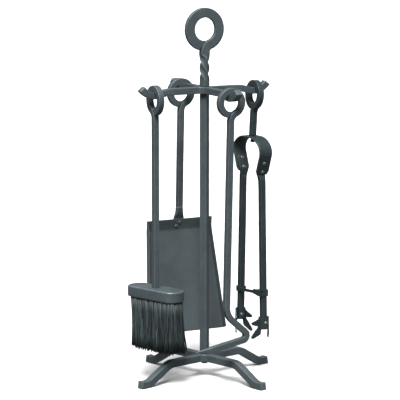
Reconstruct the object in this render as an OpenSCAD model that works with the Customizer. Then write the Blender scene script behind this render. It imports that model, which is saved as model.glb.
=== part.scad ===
// Fireplace tool set: a square-bar stand with four hooks that carries a brush,
// a shovel, a poker and sprung tongs. Millimetres, +Z up.
// The origin is on the post's axis at floor level. The hook arms point along
// +X (tongs), +Y (shovel), -X (brush) and -Y (poker).

/* [Stand] */
// Height from the floor to the top of the ring handle
stand_h = 610; // [520:1:800]
// Width across the flats of the square post
post_w = 12; // [9:0.5:16]
// Turn of the post's faces from the hook arms
post_turn = 37; // [0:1:89]

/* [Ring handle] */
// Outer diameter of the ring
ring_d = 69; // [50:1:100]
// Diameter of the hole in the ring
ring_hole_d = 38; // [20:1:45]
// Thickness of the flattened ring
ring_t = 7; // [4:0.5:12]
// Width of the square stem
stem_w = 12; // [9:0.5:16]
// Height of the twisted length
twist_h = 42; // [20:1:80]
// Turn of the twist from its foot to the ring
twist_turn = 200; // [90:5:450]
// Height of the plain foot of the stem
foot_h = 11; // [6:1:20]
// Height of the neck between the twist and the ring
neck_h = 6; // [4:1:15]
// Width of the slit where the ring's free end butts on its neck
ring_slit = 0.8; // [0.4:0.1:2]

/* [Hooks] */
// Width of the square hook bars
hook_w = 11; // [8:0.5:14]
// Radius from the post's axis to the seat of each hook
seat_r = 90; // [70:1:130]
// The same radius for the shovel's hook, whose arm is shorter
shovel_seat_r = 84; // [76:1:130]
// Depth of the seat below the straight arm
seat_dip = 5; // [3:0.5:7]
// Slope of the arm as it runs down to the seat
dip_slope = 20; // [15:1:26]
// Radius of the hook's curl, on the bar's centre line
curl_r = 32; // [28:1:36]
// Slope of the hook at its tip
tip_slope = 52; // [45:1:60]
// Cut across the outer corner where a hook bar bends round the post
hook_corner = 7.5; // [3:0.5:9]

/* [Legs] */
// Width of the square leg bars
leg_w = 12; // [9:0.5:16]
// Turn of the legs from the hook arms
leg_turn = 14.6; // [0:0.1:30]
// Radius from the post's axis to the lowest point of each foot
foot_r = 132; // [110:1:180]
// Height of the underside of the leg bars at the post
leg_lift = 26; // [18:1:32]
// Slope of the legs
leg_slope = 30; // [25:1:40]
// Bend radius of the legs, on the centre line
leg_bend_r = 30; // [20:1:34]
// Depth of the flat ground under each foot
foot_flat = 0.3; // [0.2:0.1:1]
// Upward slope of a foot's end
toe_slope = 10; // [5:1:20]
// Cut across the outer corner where a leg bar bends round the post
leg_corner = 7; // [3:0.5:9]

/* [Fasteners] */
// Diameter of the threaded stud and of the base bolt
stud_d = 6; // [4:0.5:7]
// Clearance between a stud and its hole, all round
stud_gap = 0.1; // [0.05:0.05:0.3]
// Depth to which each stud goes into the post and into the stem
stud_depth = 15; // [8:1:30]
// Height of the bolt's head
bolt_head_h = 3; // [3:0.5:6]
// Thickness of the base washer
washer_t = 1; // [1:0.2:3]
// Shank diameter of every rivet
rivet_d = 4; // [3:0.5:5]
// Height of a rivet's head
rivet_head = 1.4; // [1:0.1:2.5]

/* [Hanging eyes] */
// Width of the square tool bars
bar_w = 9.5; // [8:0.5:11]
// Diameter of the hole in each hanging eye
eye_hole_d = 29; // [28:0.5:34]
// Gap left between an eye and the hook that it rests on
rest_gap = 0.3; // [0.2:0.1:0.5]
// Width of the slit where an eye's free end butts on its shaft
eye_slit = 0.8; // [0.4:0.1:1.5]

/* [Brush] */
// Height of the top of the brush head above the floor
head_z = 157; // [130:1:220]
// Length of the brush head
head_l = 112; // [80:1:120]
// Width of the brush head
head_w = 38; // [28:1:42]
// Height of the brush head
head_h = 18; // [12:1:26]
// Radius of the head's rounded ends
head_end_r = 22; // [21:1:40]
// Turn of the brush head from its hanging eye
head_turn = 18; // [0:1:30]
// Free length of the bristles
bristle_l = 84; // [50:1:84]
// Set-back of the bristles from the head's edge
bristle_inset = 1.5; // [0.5:0.5:4]
// Depth to which the brush shaft goes into the head
tenon_l = 14; // [8:1:16]

/* [Shovel] */
// Height of the pan's top edge above the floor
pan_top_z = 251; // [230:1:300]
// Height of the pan's back wall
pan_wall_h = 19; // [16:1:30]
// Height of the pan's floor, from the fold to the mouth
pan_floor_h = 170; // [120:1:190]
// Width of the pan at its fold
pan_w = 119; // [90:1:125]
// Extra width of the pan at its mouth
pan_flare = 26; // [0:1:30]
// Depth of the pan's side flanges
flange_h = 12; // [6:1:16]
// Rise of the flanges' corners at the mouth
mouth_cut = 2; // [0:0.5:6]
// Thickness of the pan's sheet
pan_t = 1.6; // [1:0.1:2.5]
// Distance that the floor slopes towards the post
pan_slope = 29; // [20:1:32]
// Distance that the back wall slopes away from the post
wall_slope = 6; // [4:0.5:8]
// Width of the shaft's fishtail
tail_w = 20; // [14:1:26]
// Thickness of the fishtail
tail_t = 3; // [2:0.5:4]

/* [Poker] */
// Height at which the poker's shaft starts to bend
poker_bend_z = 133; // [125:1:200]
// Lean of the poker's shaft
poker_lean = 1.3; // [0:0.1:2]
// Bend out to the hook
poker_out_bend = 50; // [40:1:60]
// Radius of the bend out, on the centre line
poker_out_r = 30; // [20:1:40]
// Straight length between the bends
poker_link = 31; // [20:1:45]
// Bend back at the hook
poker_back_bend = 128; // [115:1:135]
// Radius of the bend back, on the centre line
poker_back_r = 8; // [6:0.5:14]
// Straight length of the hook, with its point
poker_tail = 86; // [50:1:100]
// Length of the point
poker_point = 26; // [15:1:40]

/* [Tongs] */
// Height of the crown of the bow above the floor
crown_z = 396; // [380:1:410]
// Width of the bow's spring strip
bow_w = 24; // [18:1:28]
// Thickness of the bow's strip
bow_t = 2.5; // [2:0.1:3.5]
// Half length of the flat crown
crown_flat = 10; // [7:1:14]
// Bend of the bow's shoulder
shoulder_bend = 40; // [35:1:45]
// Outer radius of the shoulder
shoulder_r = 45; // [40:1:50]
// Bend of the bow's side
side_bend = 72; // [68:1:75]
// Outer radius of the side
side_r = 18; // [14:1:22]
// Straight length of each limb of the bow
limb_l = 33; // [30:1:40]
// Distance of each arm from the middle, at its top
arm_top_y = 31.5; // [28:0.5:34]
// Distance of each arm from the middle, at its claw
arm_low_y = 39.2; // [36:0.2:44]
// Height of the arms' lower ends above the floor
arm_low_z = 82; // [80:1:110]
// Thickness of the arms' flattened ends
leaf_t = 3; // [2:0.5:4]
// Gap between the bow and the arms' flattened ends, and round their rivets
limb_gap = 0.3; // [0.3:0.05:0.5]
// Width of the arms' flattened ends
leaf_w = 17; // [13:1:20]
// Length of the claws' longer prongs, beyond the arm
claw_reach = 19; // [14:1:22]
// Thickness of the claws' plate
claw_t = 2.5; // [2:0.1:3.5]
// Spread of each claw's wings
claw_spread = 26; // [15:1:35]
// Height of the link strap on the left arm
link_z = 133; // [125:1:160]
// Rise of the link strap towards the right arm
link_rise = 4.3; // [3.5:0.1:5]
// Depth of the link strap
strap_h = 5; // [4:0.5:6]
// Thickness of the link strap
strap_t = 2; // [1.5:0.1:2.5]
// Clearance above and below the strap in its clip
strap_gap = 1.8; // [1.8:0.1:2.4]
// Clearance on each side of the strap in its clip
strap_side = 0.4; // [0.35:0.05:0.8]
// Length of the clip's rounded tab
tab_l = 13; // [8:1:16]

/* [Hidden] */
$fn = 48;

iron = "#4c575b";
steel = "#788084";
hair = "#20282b";
tiny = 0.01;
past = 1;
bend_step = 3;

// Stand heights
leg_top_z = leg_lift + leg_w;
hub_top_z = stand_h - ring_d - neck_h - twist_h - foot_h;
hook_mid_z = hub_top_z - hook_w / 2;
leg_mid_z = leg_lift + leg_w / 2;
post_h = hub_top_z - hook_w - leg_top_z;
ring_z = stand_h - ring_d / 2;

// Fasteners
bolt_head_d = 1.9 * stud_d;
washer_d = 2.6 * stud_d;
stud_hole_d = stud_d + 2 * stud_gap;
cap_r = 0.8 * rivet_d;
ring_slit_tilt = 36;
eye_slit_tilt = 40;

// Hook arms: the dip and the curl share the seat's lowest point
dip_r = seat_dip / (1 - cos(dip_slope)) - curl_r;

// Legs: two equal bends with a straight slope between them
leg_drop = leg_mid_z - leg_w / 2 + foot_flat;
slope_drop = leg_drop - 2 * leg_bend_r * (1 - cos(leg_slope));
slope_l = slope_drop / sin(leg_slope);
leg_run = foot_r - 2 * leg_bend_r * sin(leg_slope) - slope_l * cos(leg_slope);
toe_l = 4;

// Eyes: the hole's top rests on the two upper edges of the seat
eye_r = eye_hole_d / 2;
eye_mid_r = eye_r + bar_w / 2;
seat_top_z = hook_mid_z - seat_dip + hook_w / 2;
seat_top_r = curl_r - hook_w / 2;
seat_rise = seat_top_r - sqrt(pow(seat_top_r, 2) - pow(bar_w / 2, 2));
eye_z = seat_top_z + seat_rise + rest_gap - sqrt(pow(eye_r, 2) - pow(hook_w / 2, 2));
shaft_top_z = eye_z - eye_mid_r;

// Brush
head_low_z = head_z - head_h;
tenon_d = bar_w - 2;

// Shovel: rear face of the sheet, as (y, z) points from the top edge to the mouth
fold_z = pan_top_z - pan_wall_h;
mouth_z = fold_z - pan_floor_h;
pan_top = [seat_r + 1.5, pan_top_z];
pan_fold = [pan_top[0] + wall_slope, fold_z];
pan_mouth = [pan_fold[0] - pan_slope, mouth_z];
wall_tilt = atan(wall_slope / pan_wall_h);
floor_tilt = atan(pan_slope / pan_floor_h);
top_w = pan_w + 4;
mouth_w = pan_w + pan_flare;
shovel_rivet_up = [13.5, 6.5];
shovel_rivet_x = [1.5, -3.5];
tail_start = 3;
tail_end = 1;
thin_rise = 18;
fishtail_h = 16;
fishtail_steps = 6;

// Poker: half thickness of its point
blunt = 1.5;

// Tongs
bow_mid_r1 = shoulder_r - bow_t / 2;
bow_mid_r2 = side_r - bow_t / 2;
bow_lean = shoulder_bend + side_bend - 90;
limb_y = crown_flat + shoulder_r * sin(shoulder_bend)
    + side_r * (cos(bow_lean) - sin(shoulder_bend));
limb_z = crown_z - shoulder_r * (1 - cos(shoulder_bend))
    - side_r * (cos(shoulder_bend) + sin(bow_lean));
leaf_from = 5;
leaf_l = limb_l - leaf_from + 3;
leaf_offset = bow_t + limb_gap + leaf_t / 2;
limb_rivets = [12, 28];
arm_top_z = limb_z - (limb_l + 1) * cos(bow_lean);
arm_lean = atan((arm_low_y - arm_top_y) / (arm_top_z - arm_low_z));
arm_l = (arm_top_z - arm_low_z) / cos(arm_lean);
claw_back_r = bar_w / sqrt(2) + 0.1;
claw_z = arm_low_z + 17;
claw_back_h = 21;
strap_x = seat_r - bar_w / 2 - strap_side - strap_t;
clip_wall = 1.5;
clip_lip = 1.2;
window_rise = 0.25;
tab_hole_d = 3;
tab_inset = 1;
strap_past = 2;
claw_wedge = 40;
clip_h = strap_h + 2 * strap_gap + 2 * clip_lip;
clip_y = -arm_y(clip_z());
nub_r = 3.5;
nub_h = 9;
nub_taper = 1.5;
shank_d = 5;

// Distance of an arm's centre line from the middle, at a height
function arm_y(z) = arm_top_y + (arm_top_z - z) * tan(arm_lean);
// Height of the clip, where the rising strap meets the right arm
function clip_z() = link_z + (arm_y(link_z) + arm_y(link_z)) * tan(link_rise);
// Unit vectors along and to the left of a path that heads at angle a
function ahead(a) = [cos(a), sin(a)];
function left(a) = [-sin(a), cos(a)];
// Points beside a path that starts at the origin along +X, at a distance to its
// left. Each step is [straight length, bend angle, bend radius].
function beside(steps, off, i = 0, at = [0, 0], a = 0) =
    i == len(steps) ? [] :
    let (
        turn = steps[i][1],
        r = sign(turn) * steps[i][2],
        end = at + steps[i][0] * ahead(a),
        centre = end + r * left(a),
        n = ceil(abs(turn) / bend_step)
    )
    concat(
        i == 0 ? [at + off * left(a)] : [],
        steps[i][0] > 0 ? [end + off * left(a)] : [],
        turn == 0 ? [] : [for (k = [1:n]) centre + (off - r) * left(a + turn * k / n)],
        beside(steps, off, i + 1, centre - r * left(a + turn), a + turn)
    );
function backwards(points) = [for (i = [len(points) - 1:-1:0]) points[i]];
function outline(t, steps) = concat(beside(steps, t / 2), backwards(beside(steps, -t / 2)));

// Bar that follows its steps in the XZ plane; w is its width across the plane
module bent_bar(w, t, steps) {
    rotate([90, 0, 0])
        linear_extrude(w, center = true)
            polygon(outline(t, steps));
}

// Bar that makes two arms at a right angle, along -X and -Y, with a flat corner
module corner_bar(w, corner, steps_x, steps_y) {
    half = w / 2;
    rotate([0, 0, 180])
        translate([half, 0, 0])
            bent_bar(w, w, steps_x);
    rotate([0, 0, 270])
        translate([half, 0, 0])
            bent_bar(w, w, steps_y);
    linear_extrude(w, center = true)
        polygon([[-half, half], [-half - corner, -half], [-half, -half - corner], [half, -half]]);
}

// Hanging eye in the XZ plane, centred on the origin
module eye() {
    difference() {
        rotate([90, 0, 0])
            rotate_extrude()
                translate([eye_mid_r, 0])
                    square(bar_w, center = true);
        rotate([0, eye_slit_tilt, 0])
            translate([-bar_w, -bar_w, -eye_r - 1.5 * bar_w])
                cube([eye_slit, 2 * bar_w, 1.5 * bar_w + 2]);
    }
}

// Hanging eye with a straight shaft along -Z
module eye_and_shaft(shaft_l) {
    eye();
    translate([-bar_w / 2, -bar_w / 2, -shaft_l])
        cube([bar_w, bar_w, shaft_l - eye_mid_r]);
}

// Rivet along +Z through a stack of the given thickness, with a head on each side
module rivet(stack) {
    cylinder(h = stack, d = rivet_d);
    for (up = [0, 1])
        mirror([0, 0, 1 - up])
            translate([0, 0, up * stack])
                rivet_head();
}

// Low domed rivet head on the XY plane
module rivet_head() {
    ball_r = (pow(cap_r, 2) + pow(rivet_head, 2)) / (2 * rivet_head);
    intersection() {
        translate([0, 0, rivet_head - ball_r])
            sphere(r = ball_r);
        cylinder(h = rivet_head, r = cap_r);
    }
}

module ring_handle() {
    color(iron)
        difference() {
            union() {
                translate([0, 0, ring_z])
                    rotate([90, 0, 0])
                        rotate_extrude()
                            translate([(ring_d + ring_hole_d) / 4, 0])
                                square([(ring_d - ring_hole_d) / 2, ring_t], center = true);
                hull() {
                    translate([0, 0, ring_z - ring_d / 2 + 3])
                        cube([(ring_d - ring_hole_d) / 2, ring_t, tiny], center = true);
                    translate([0, 0, hub_top_z + foot_h + twist_h])
                        cube([stem_w, stem_w, tiny], center = true);
                }
                translate([0, 0, hub_top_z + foot_h])
                    rotate([0, 0, twist_turn])
                        linear_extrude(height = twist_h, twist = twist_turn, slices = 30)
                            square(stem_w, center = true);
                translate([0, 0, hub_top_z])
                    rotate([0, 0, twist_turn])
                        translate([-stem_w / 2, -stem_w / 2, 0])
                            cube([stem_w, stem_w, foot_h]);
            }
            translate([-2, 0, ring_z - (ring_d + ring_hole_d) / 4])
                rotate([0, ring_slit_tilt, 0])
                    cube([ring_slit, 2 * ring_t, ring_d / 2 - ring_hole_d / 2 + 6], center = true);
            translate([0, 0, hub_top_z - tiny])
                cylinder(h = stud_depth + tiny, d = stud_hole_d);
        }
}

module handle_stud() {
    color(steel)
        translate([0, 0, hub_top_z - hook_w - stud_depth])
            cylinder(h = hook_w + 2 * stud_depth, d = stud_d);
}

// Steps of a hook arm whose seat is at radius r
function hook_steps(r) = [
    [r - (dip_r + curl_r) * sin(dip_slope) - hook_w / 2, -dip_slope, dip_r],
    [0, dip_slope + tip_slope, curl_r]
];

module hook_bar(turn, r_x, r_y) {
    color(iron)
        translate([0, 0, hook_mid_z])
            difference() {
                rotate([0, 0, turn])
                    corner_bar(hook_w, hook_corner, hook_steps(r_x), hook_steps(r_y));
                cylinder(h = 2 * hook_w, d = stud_d + 2 * stud_gap, center = true);
            }
}

module hook_bar_front() { hook_bar(0, seat_r, seat_r); }

module hook_bar_rear() { hook_bar(180, seat_r, shovel_seat_r); }

module post() {
    color(iron)
        translate([0, 0, leg_top_z])
            difference() {
                rotate([0, 0, post_turn])
                    translate([-post_w / 2, -post_w / 2, 0])
                        cube([post_w, post_w, post_h]);
                translate([0, 0, -tiny])
                    cylinder(h = stud_depth + tiny, d = stud_hole_d);
                translate([0, 0, post_h - stud_depth])
                    cylinder(h = stud_depth + tiny, d = stud_hole_d);
            }
}

module leg_bar(turn) {
    steps = [
        [leg_run - leg_w / 2, -leg_slope, leg_bend_r],
        [slope_l, leg_slope + toe_slope, leg_bend_r],
        [toe_l, 0, 0]
    ];
    color(iron)
        translate([0, 0, leg_mid_z])
            difference() {
                rotate([0, 0, turn + leg_turn])
                    corner_bar(leg_w, leg_corner, steps, steps);
                cylinder(h = 2 * leg_w, d = stud_d + 2 * stud_gap, center = true);
                translate([0, 0, -leg_mid_z - 5])
                    cube([4 * foot_r, 4 * foot_r, 10], center = true);
            }
}

module leg_bar_front() { leg_bar(0); }

module leg_bar_rear() { leg_bar(180); }

module base_bolt() {
    color(steel)
        translate([0, 0, leg_lift - washer_t]) {
            cylinder(h = washer_t + leg_w + stud_depth, d = stud_d);
            translate([0, 0, -bolt_head_h])
                cylinder(h = bolt_head_h, d = bolt_head_d, $fn = 6);
        }
}

module base_washer() {
    color(steel)
        translate([0, 0, leg_lift - washer_t])
            difference() {
                cylinder(h = washer_t, d = washer_d);
                translate([0, 0, -past])
                    cylinder(h = washer_t + 2 * past, d = stud_hole_d);
            }
}

module brush_shaft() {
    color(iron)
        translate([-seat_r, 0, eye_z]) {
            rotate([0, 0, -90])
                eye_and_shaft(eye_z - head_z);
            translate([0, 0, head_z - eye_z - tenon_l])
                cylinder(h = tenon_l + tiny, d = tenon_d);
        }
}

// Plan of the brush head, long along Y, made smaller all round by the inset
module head_plan(inset) {
    half_w = head_w / 2 - inset;
    end_r = head_end_r - inset;
    end_y = head_l / 2 - inset - end_r;
    side_y = end_y + sqrt(pow(end_r, 2) - pow(half_w, 2));
    intersection() {
        square([2 * half_w, head_l], center = true);
        union() {
            square([2 * half_w, 2 * side_y], center = true);
            for (side = [-1, 1])
                translate([0, side * end_y])
                    circle(r = end_r, $fn = 96);
        }
    }
}

module brush_head() {
    color(iron)
        translate([-seat_r, 0, head_low_z])
            difference() {
                rotate([0, 0, head_turn])
                    linear_extrude(head_h)
                        head_plan(0);
                translate([0, 0, head_h - tenon_l])
                    cylinder(h = tenon_l + 1, d = tenon_d + 2 * stud_gap);
            }
}

module brush_bristles() {
    color(hair)
        translate([-seat_r, 0, head_low_z - bristle_l])
            rotate([0, 0, head_turn])
                linear_extrude(bristle_l)
                    head_plan(bristle_inset);
}

// Side view of the shovel's shaft, as (y, z) points: it leans out from the eye to
// its fishtail, which lies against the pan's back wall
module tail_side() {
    half = bar_w / 2;
    wall_up = [-sin(wall_tilt), cos(wall_tilt)];
    out = [cos(wall_tilt), sin(wall_tilt)];
    low = pan_fold + tail_start * wall_up;
    high = pan_top + tail_end * wall_up;
    thin_z = pan_top_z + thin_rise;
    polygon([
        low, low + tail_t * out, high + tail_t * out,
        [seat_r + half, thin_z], [shovel_seat_r + half, shaft_top_z],
        [shovel_seat_r - half, shaft_top_z], [seat_r - half, thin_z], high
    ]);
}

// Front view of the shovel's shaft, as (x, z) points
module tail_front() {
    neck_z = pan_top_z + fishtail_h;
    polygon([
        [-bar_w / 2, shaft_top_z], [-bar_w / 2, neck_z],
        for (i = [1:fishtail_steps]) [-bar_w / 2 - (tail_w - bar_w) / 2 * pow(i / fishtail_steps, 1.5), neck_z - fishtail_h * i / fishtail_steps],
        [-tail_w / 2, fold_z - 2], [tail_w / 2, fold_z - 2],
        for (i = [fishtail_steps:-1:1]) [bar_w / 2 + (tail_w - bar_w) / 2 * pow(i / fishtail_steps, 1.5), neck_z - fishtail_h * i / fishtail_steps],
        [bar_w / 2, neck_z], [bar_w / 2, shaft_top_z]
    ]);
}

// Turns a drawing of (y, z) points into a solid of the given width along X
module across_x(width) {
    rotate([90, 0, 90])
        linear_extrude(width, center = true)
            children();
}

// Turns a drawing of (x, z) points into a solid that runs along Y past the shovel
module along_y() {
    translate([0, 2 * seat_r, 0])
        rotate([90, 0, 0])
            linear_extrude(2 * seat_r)
                children();
}

module shovel_rivet_places() {
    for (i = [0, 1])
        translate([shovel_rivet_x[i], pan_fold[0], pan_fold[1]])
            rotate([wall_tilt, 0, 0])
                translate([0, 0, shovel_rivet_up[i]])
                    rotate([-90, 0, 0])
                        translate([0, 0, -pan_t])
                            children();
}

module shovel_shaft() {
    color(iron)
        difference() {
            union() {
                translate([0, shovel_seat_r, eye_z])
                    eye();
                intersection() {
                    across_x(2 * tail_w)
                        tail_side();
                    along_y()
                        tail_front();
                }
            }
            shovel_rivet_places()
                cylinder(h = 4 * tail_t, d = rivet_d);
        }
}

// Side view of the pan's outside, as (y, z) points
module pan_side() {
    floor_in = [-cos(floor_tilt), sin(floor_tilt)];
    floor_up = [sin(floor_tilt), cos(floor_tilt)];
    lip_top = pan_fold + (pan_wall_h + 4) * floor_up;
    polygon([
        pan_top, pan_fold, pan_mouth,
        pan_mouth + flange_h * floor_in + mouth_cut * floor_up,
        lip_top + flange_h * floor_in
    ]);
}

// Side view of the pan's hollow, drawn past its open sides
module hollow_side() {
    floor_in = [-cos(floor_tilt), sin(floor_tilt)];
    floor_up = [sin(floor_tilt), cos(floor_tilt)];
    wall_in = [-cos(wall_tilt), -sin(wall_tilt)];
    wall_up = [-sin(wall_tilt), cos(wall_tilt)];
    beyond = 2 * flange_h;
    polygon([
        pan_top + pan_t * wall_in + beyond * wall_up,
        pan_fold + pan_t * (floor_in + wall_in) / 2,
        pan_mouth + pan_t * floor_in - beyond * floor_up,
        pan_mouth + 2 * beyond * floor_in - beyond * floor_up,
        pan_top + 3 * beyond * floor_in + beyond * wall_up
    ]);
}

// Front view of the pan, as (x, z) points; t makes it smaller at both sides
module pan_front(t) {
    over = 2 * flange_h;
    top_z = pan_top_z + over;
    low_z = mouth_z - over;
    rows = [
        [top_w / 2, top_z], [top_w / 2, pan_top_z], [pan_w / 2, fold_z],
        [mouth_w / 2, mouth_z], [mouth_w / 2, low_z]
    ];
    last = len(rows) - 1;
    polygon([
        for (row = rows) [row[0] - t, row[1]],
        for (i = [last:-1:0]) [t - rows[i][0], rows[i][1]]
    ]);
}

module shovel_pan() {
    color(iron)
        difference() {
            intersection() {
                across_x(2 * mouth_w)
                    pan_side();
                along_y()
                    pan_front(0);
                translate([-mouth_w, 0, 0])
                    cube([2 * mouth_w, 2 * seat_r, pan_top_z]);
            }
            intersection() {
                across_x(2 * mouth_w)
                    hollow_side();
                along_y()
                    pan_front(pan_t);
            }
            shovel_rivet_places()
                translate([0, 0, -1])
                    cylinder(h = 3 * pan_t, d = rivet_d);
        }
}

module shovel_rivets() {
    color(steel)
        shovel_rivet_places()
            rivet(pan_t + tail_t);
}

// Space outside the poker's point, which narrows along +X from above and from both sides
module around_point() {
    half = bar_w / 2;
    difference() {
        translate([0, -bar_w, -bar_w])
            cube([2 * poker_point, 2 * bar_w, 2 * bar_w]);
        intersection() {
            rotate([90, 0, 0])
                linear_extrude(3 * bar_w, center = true)
                    polygon([[-1, -half - 1], [-1, half], [0, half], [poker_point, blunt - half],
                        [poker_point, -half - 1]]);
            linear_extrude(3 * bar_w, center = true)
                polygon([[-1, -half], [-1, half], [0, half], [poker_point, blunt],
                    [poker_point, -blunt], [0, -half]]);
        }
    }
}

module poker() {
    steps = [
        [(eye_z - poker_bend_z) / cos(poker_lean) - eye_mid_r, poker_out_bend, poker_out_r],
        [poker_link, -poker_back_bend, poker_back_r],
        [poker_tail, 0, 0]
    ];
    middle = beside(steps, 0);
    tail_end = middle[len(middle) - 1];
    color(iron)
        translate([0, -seat_r, eye_z])
            rotate([0, poker_lean, 0]) {
                eye();
                rotate([0, 90, 0])
                    translate([eye_mid_r, 0, 0])
                        difference() {
                            bent_bar(bar_w, bar_w, steps);
                            translate([tail_end[0], 0, tail_end[1]])
                                rotate([0, poker_back_bend - poker_out_bend, 0])
                                    translate([-poker_point, 0, 0])
                                        around_point();
                        }
            }
}

module tongs_hanger() {
    color(iron)
        translate([seat_r, 0, eye_z]) {
            rotate([0, 0, -90])
                eye_and_shaft(eye_z - crown_z);
            translate([0, 0, crown_z - eye_z - bow_t - 1])
                cylinder(h = bow_t + 1 + tiny, d = shank_d);
            translate([0, 0, crown_z - eye_z - bow_t])
                mirror([0, 0, 1])
                    cylinder(h = nub_h, r1 = nub_r, r2 = nub_r - nub_taper);
        }
}

// Places a child at the top of the bow's left limb, with +X down the limb and
// +Z out of its inner face; the origin is on the outer face
module on_limb() {
    translate([0, limb_y, limb_z])
        rotate([0, 0, 90])
            rotate([0, 90 + bow_lean, 0])
                mirror([0, 0, 1])
                    children();
}

module limb_rivet_holes(d) {
    for (along = limb_rivets)
        on_limb()
            translate([along, 0, -bow_t])
                cylinder(h = 4 * bow_t + leaf_t, d = d);
}

// The bow in the YZ plane, with its crown's outer face at the crown's height
module bow_strip() {
    steps = [
        [crown_flat, -shoulder_bend, bow_mid_r1],
        [0, -side_bend, bow_mid_r2],
        [limb_l, 0, 0]
    ];
    half = outline(bow_t, steps);
    last = len(half) - 2;
    rotate([90, 0, 90])
        translate([0, crown_z - bow_t / 2])
            linear_extrude(bow_w, center = true)
                polygon(concat(half, [for (i = [last:-1:1]) [-half[i][0], half[i][1]]]));
}

module tongs_bow() {
    color(iron)
        translate([seat_r, 0, 0])
            difference() {
                bow_strip();
                for (side = [0, 1])
                    mirror([0, side, 0])
                        limb_rivet_holes(rivet_d + 2 * limb_gap);
                translate([0, 0, crown_z - 2 * bow_t])
                    cylinder(h = 3 * bow_t, d = shank_d + 2 * stud_gap);
            }
}

// Left arm, towards +Y: a square bar with a flattened end on the bow's limb
module arm() {
    half = bar_w / 2;
    difference() {
        union() {
            on_limb()
                translate([leaf_from, -leaf_w / 2, leaf_offset - leaf_t / 2])
                    cube([leaf_l, leaf_w, leaf_t]);
            translate([0, arm_top_y, arm_top_z])
                rotate([arm_lean, 0, 0])
                    translate([-half, -half, -arm_l])
                        cube([bar_w, bar_w, arm_l]);
        }
        limb_rivet_holes(rivet_d);
        claw_place()
            translate([0, 0, claw_back_h / 2])
                rotate([90, 0, 0])
                    cylinder(h = claw_wedge, d = rivet_d, center = true);
    }
}

module tongs_arm_left() {
    color(iron)
        translate([seat_r, 0, 0])
            arm();
}

module tongs_arm_right() {
    color(iron)
        translate([seat_r, 0, 0])
            mirror([0, 1, 0])
                arm();
}

// Two rivets that hold an arm's flattened end on the bow
module arm_rivets() {
    for (along = limb_rivets)
        on_limb()
            translate([along, 0, -limb_gap])
                rivet(bow_t + 2 * limb_gap + leaf_t);
}

module tongs_rivets_left() {
    color(steel)
        translate([seat_r, 0, 0])
            arm_rivets();
}

module tongs_rivets_right() {
    color(steel)
        translate([seat_r, 0, 0])
            mirror([0, 1, 0])
                arm_rivets();
}

// Places a child on the left arm's end: the origin is on its centre line at the
// foot of the claw's back, and the claw opens towards -Y
module claw_place() {
    foot_z = claw_z - claw_back_h;
    translate([0, arm_y(foot_z), foot_z])
        rotate([arm_lean, 0, 0])
            children();
}

// Outline of one wing, as (distance from the back, height) points
module wing_outline() {
    top = claw_back_h;
    polygon([
        [-0.5, 0], [-0.5, top], [1, top - 2], [10, top - 7.5], [claw_reach - 3, top - 10.5],
        [claw_reach - 0.5, top - 13], [claw_reach - 3, top - 15.5], [5, top - 16.5],
        [6, top - 19], [12, top - 26], [claw_reach - 0.5, top - 35],
        [claw_reach, top - 37.5], [claw_reach - 2, top - 38.5], [claw_reach - 5, top - 38],
        [1, top - 30]
    ]);
}

// Claw: a folded plate that wraps the arm's outer side and carries two wings
module claw() {
    difference() {
        union() {
            intersection() {
                difference() {
                    cylinder(h = claw_back_h, r = claw_back_r + claw_t);
                    translate([0, 0, -1])
                        cylinder(h = claw_back_h + 2, r = claw_back_r);
                }
                rotate([0, 0, 90])
                    linear_extrude(claw_back_h)
                        polygon([
                            [0, 0],
                            claw_wedge * [cos(90 - claw_spread) - 0.5, -sin(90 - claw_spread)],
                            [claw_wedge, -claw_wedge], [claw_wedge, claw_wedge],
                            claw_wedge * [cos(90 - claw_spread) - 0.5, sin(90 - claw_spread)]
                        ]);
            }
            for (side = [0, 1])
                mirror([side, 0, 0])
                    rotate([0, 0, claw_spread])
                        translate([claw_back_r + claw_t, 0, 0])
                            rotate([90, 0, -90])
                                linear_extrude(claw_t)
                                    wing_outline();
        }
        translate([0, 0, claw_back_h / 2])
            rotate([90, 0, 0])
                cylinder(h = claw_wedge, d = rivet_d, center = true);
    }
}

module claw_left() {
    color(iron)
        translate([seat_r, 0, 0])
            claw_place()
                claw();
}

module claw_right() {
    color(iron)
        translate([seat_r, 0, 0])
            mirror([0, 1, 0])
                claw_place()
                    claw();
}

// Rivet through the claw's back and the arm
module claw_rivet() {
    claw_place()
        translate([0, -bar_w / 2, claw_back_h / 2])
            rotate([-90, 0, 0])
                rivet(bar_w / 2 + claw_back_r + claw_t);
}

module claw_rivet_left() {
    color(steel)
        translate([seat_r, 0, 0])
            claw_rivet();
}

module claw_rivet_right() {
    color(steel)
        translate([seat_r, 0, 0])
            mirror([0, 1, 0])
                claw_rivet();
}

// Strap from the left arm to the clip, with the collar that holds it
module link_strap() {
    y0 = arm_y(link_z);
    outer = bar_w + 2 * clip_wall;
    collar_h = strap_h + 2 * strap_past;
    strap_l = 2 * (y0 + strap_past);
    color(iron)
        translate([0, y0, link_z]) {
            difference() {
                translate([seat_r - outer / 2, -outer / 2, -collar_h / 2])
                    cube([outer, outer, collar_h]);
                translate([seat_r, 0, 0])
                    rotate([arm_lean, 0, 0])
                        cube([bar_w, bar_w, 2 * collar_h], center = true);
            }
            translate([strap_x + strap_t / 2, 0, 0])
                rotate([-link_rise, 0, 0])
                    translate([0, -strap_l / 2, 0])
                        cube([strap_t, strap_l, strap_h], center = true);
        }
}

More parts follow.
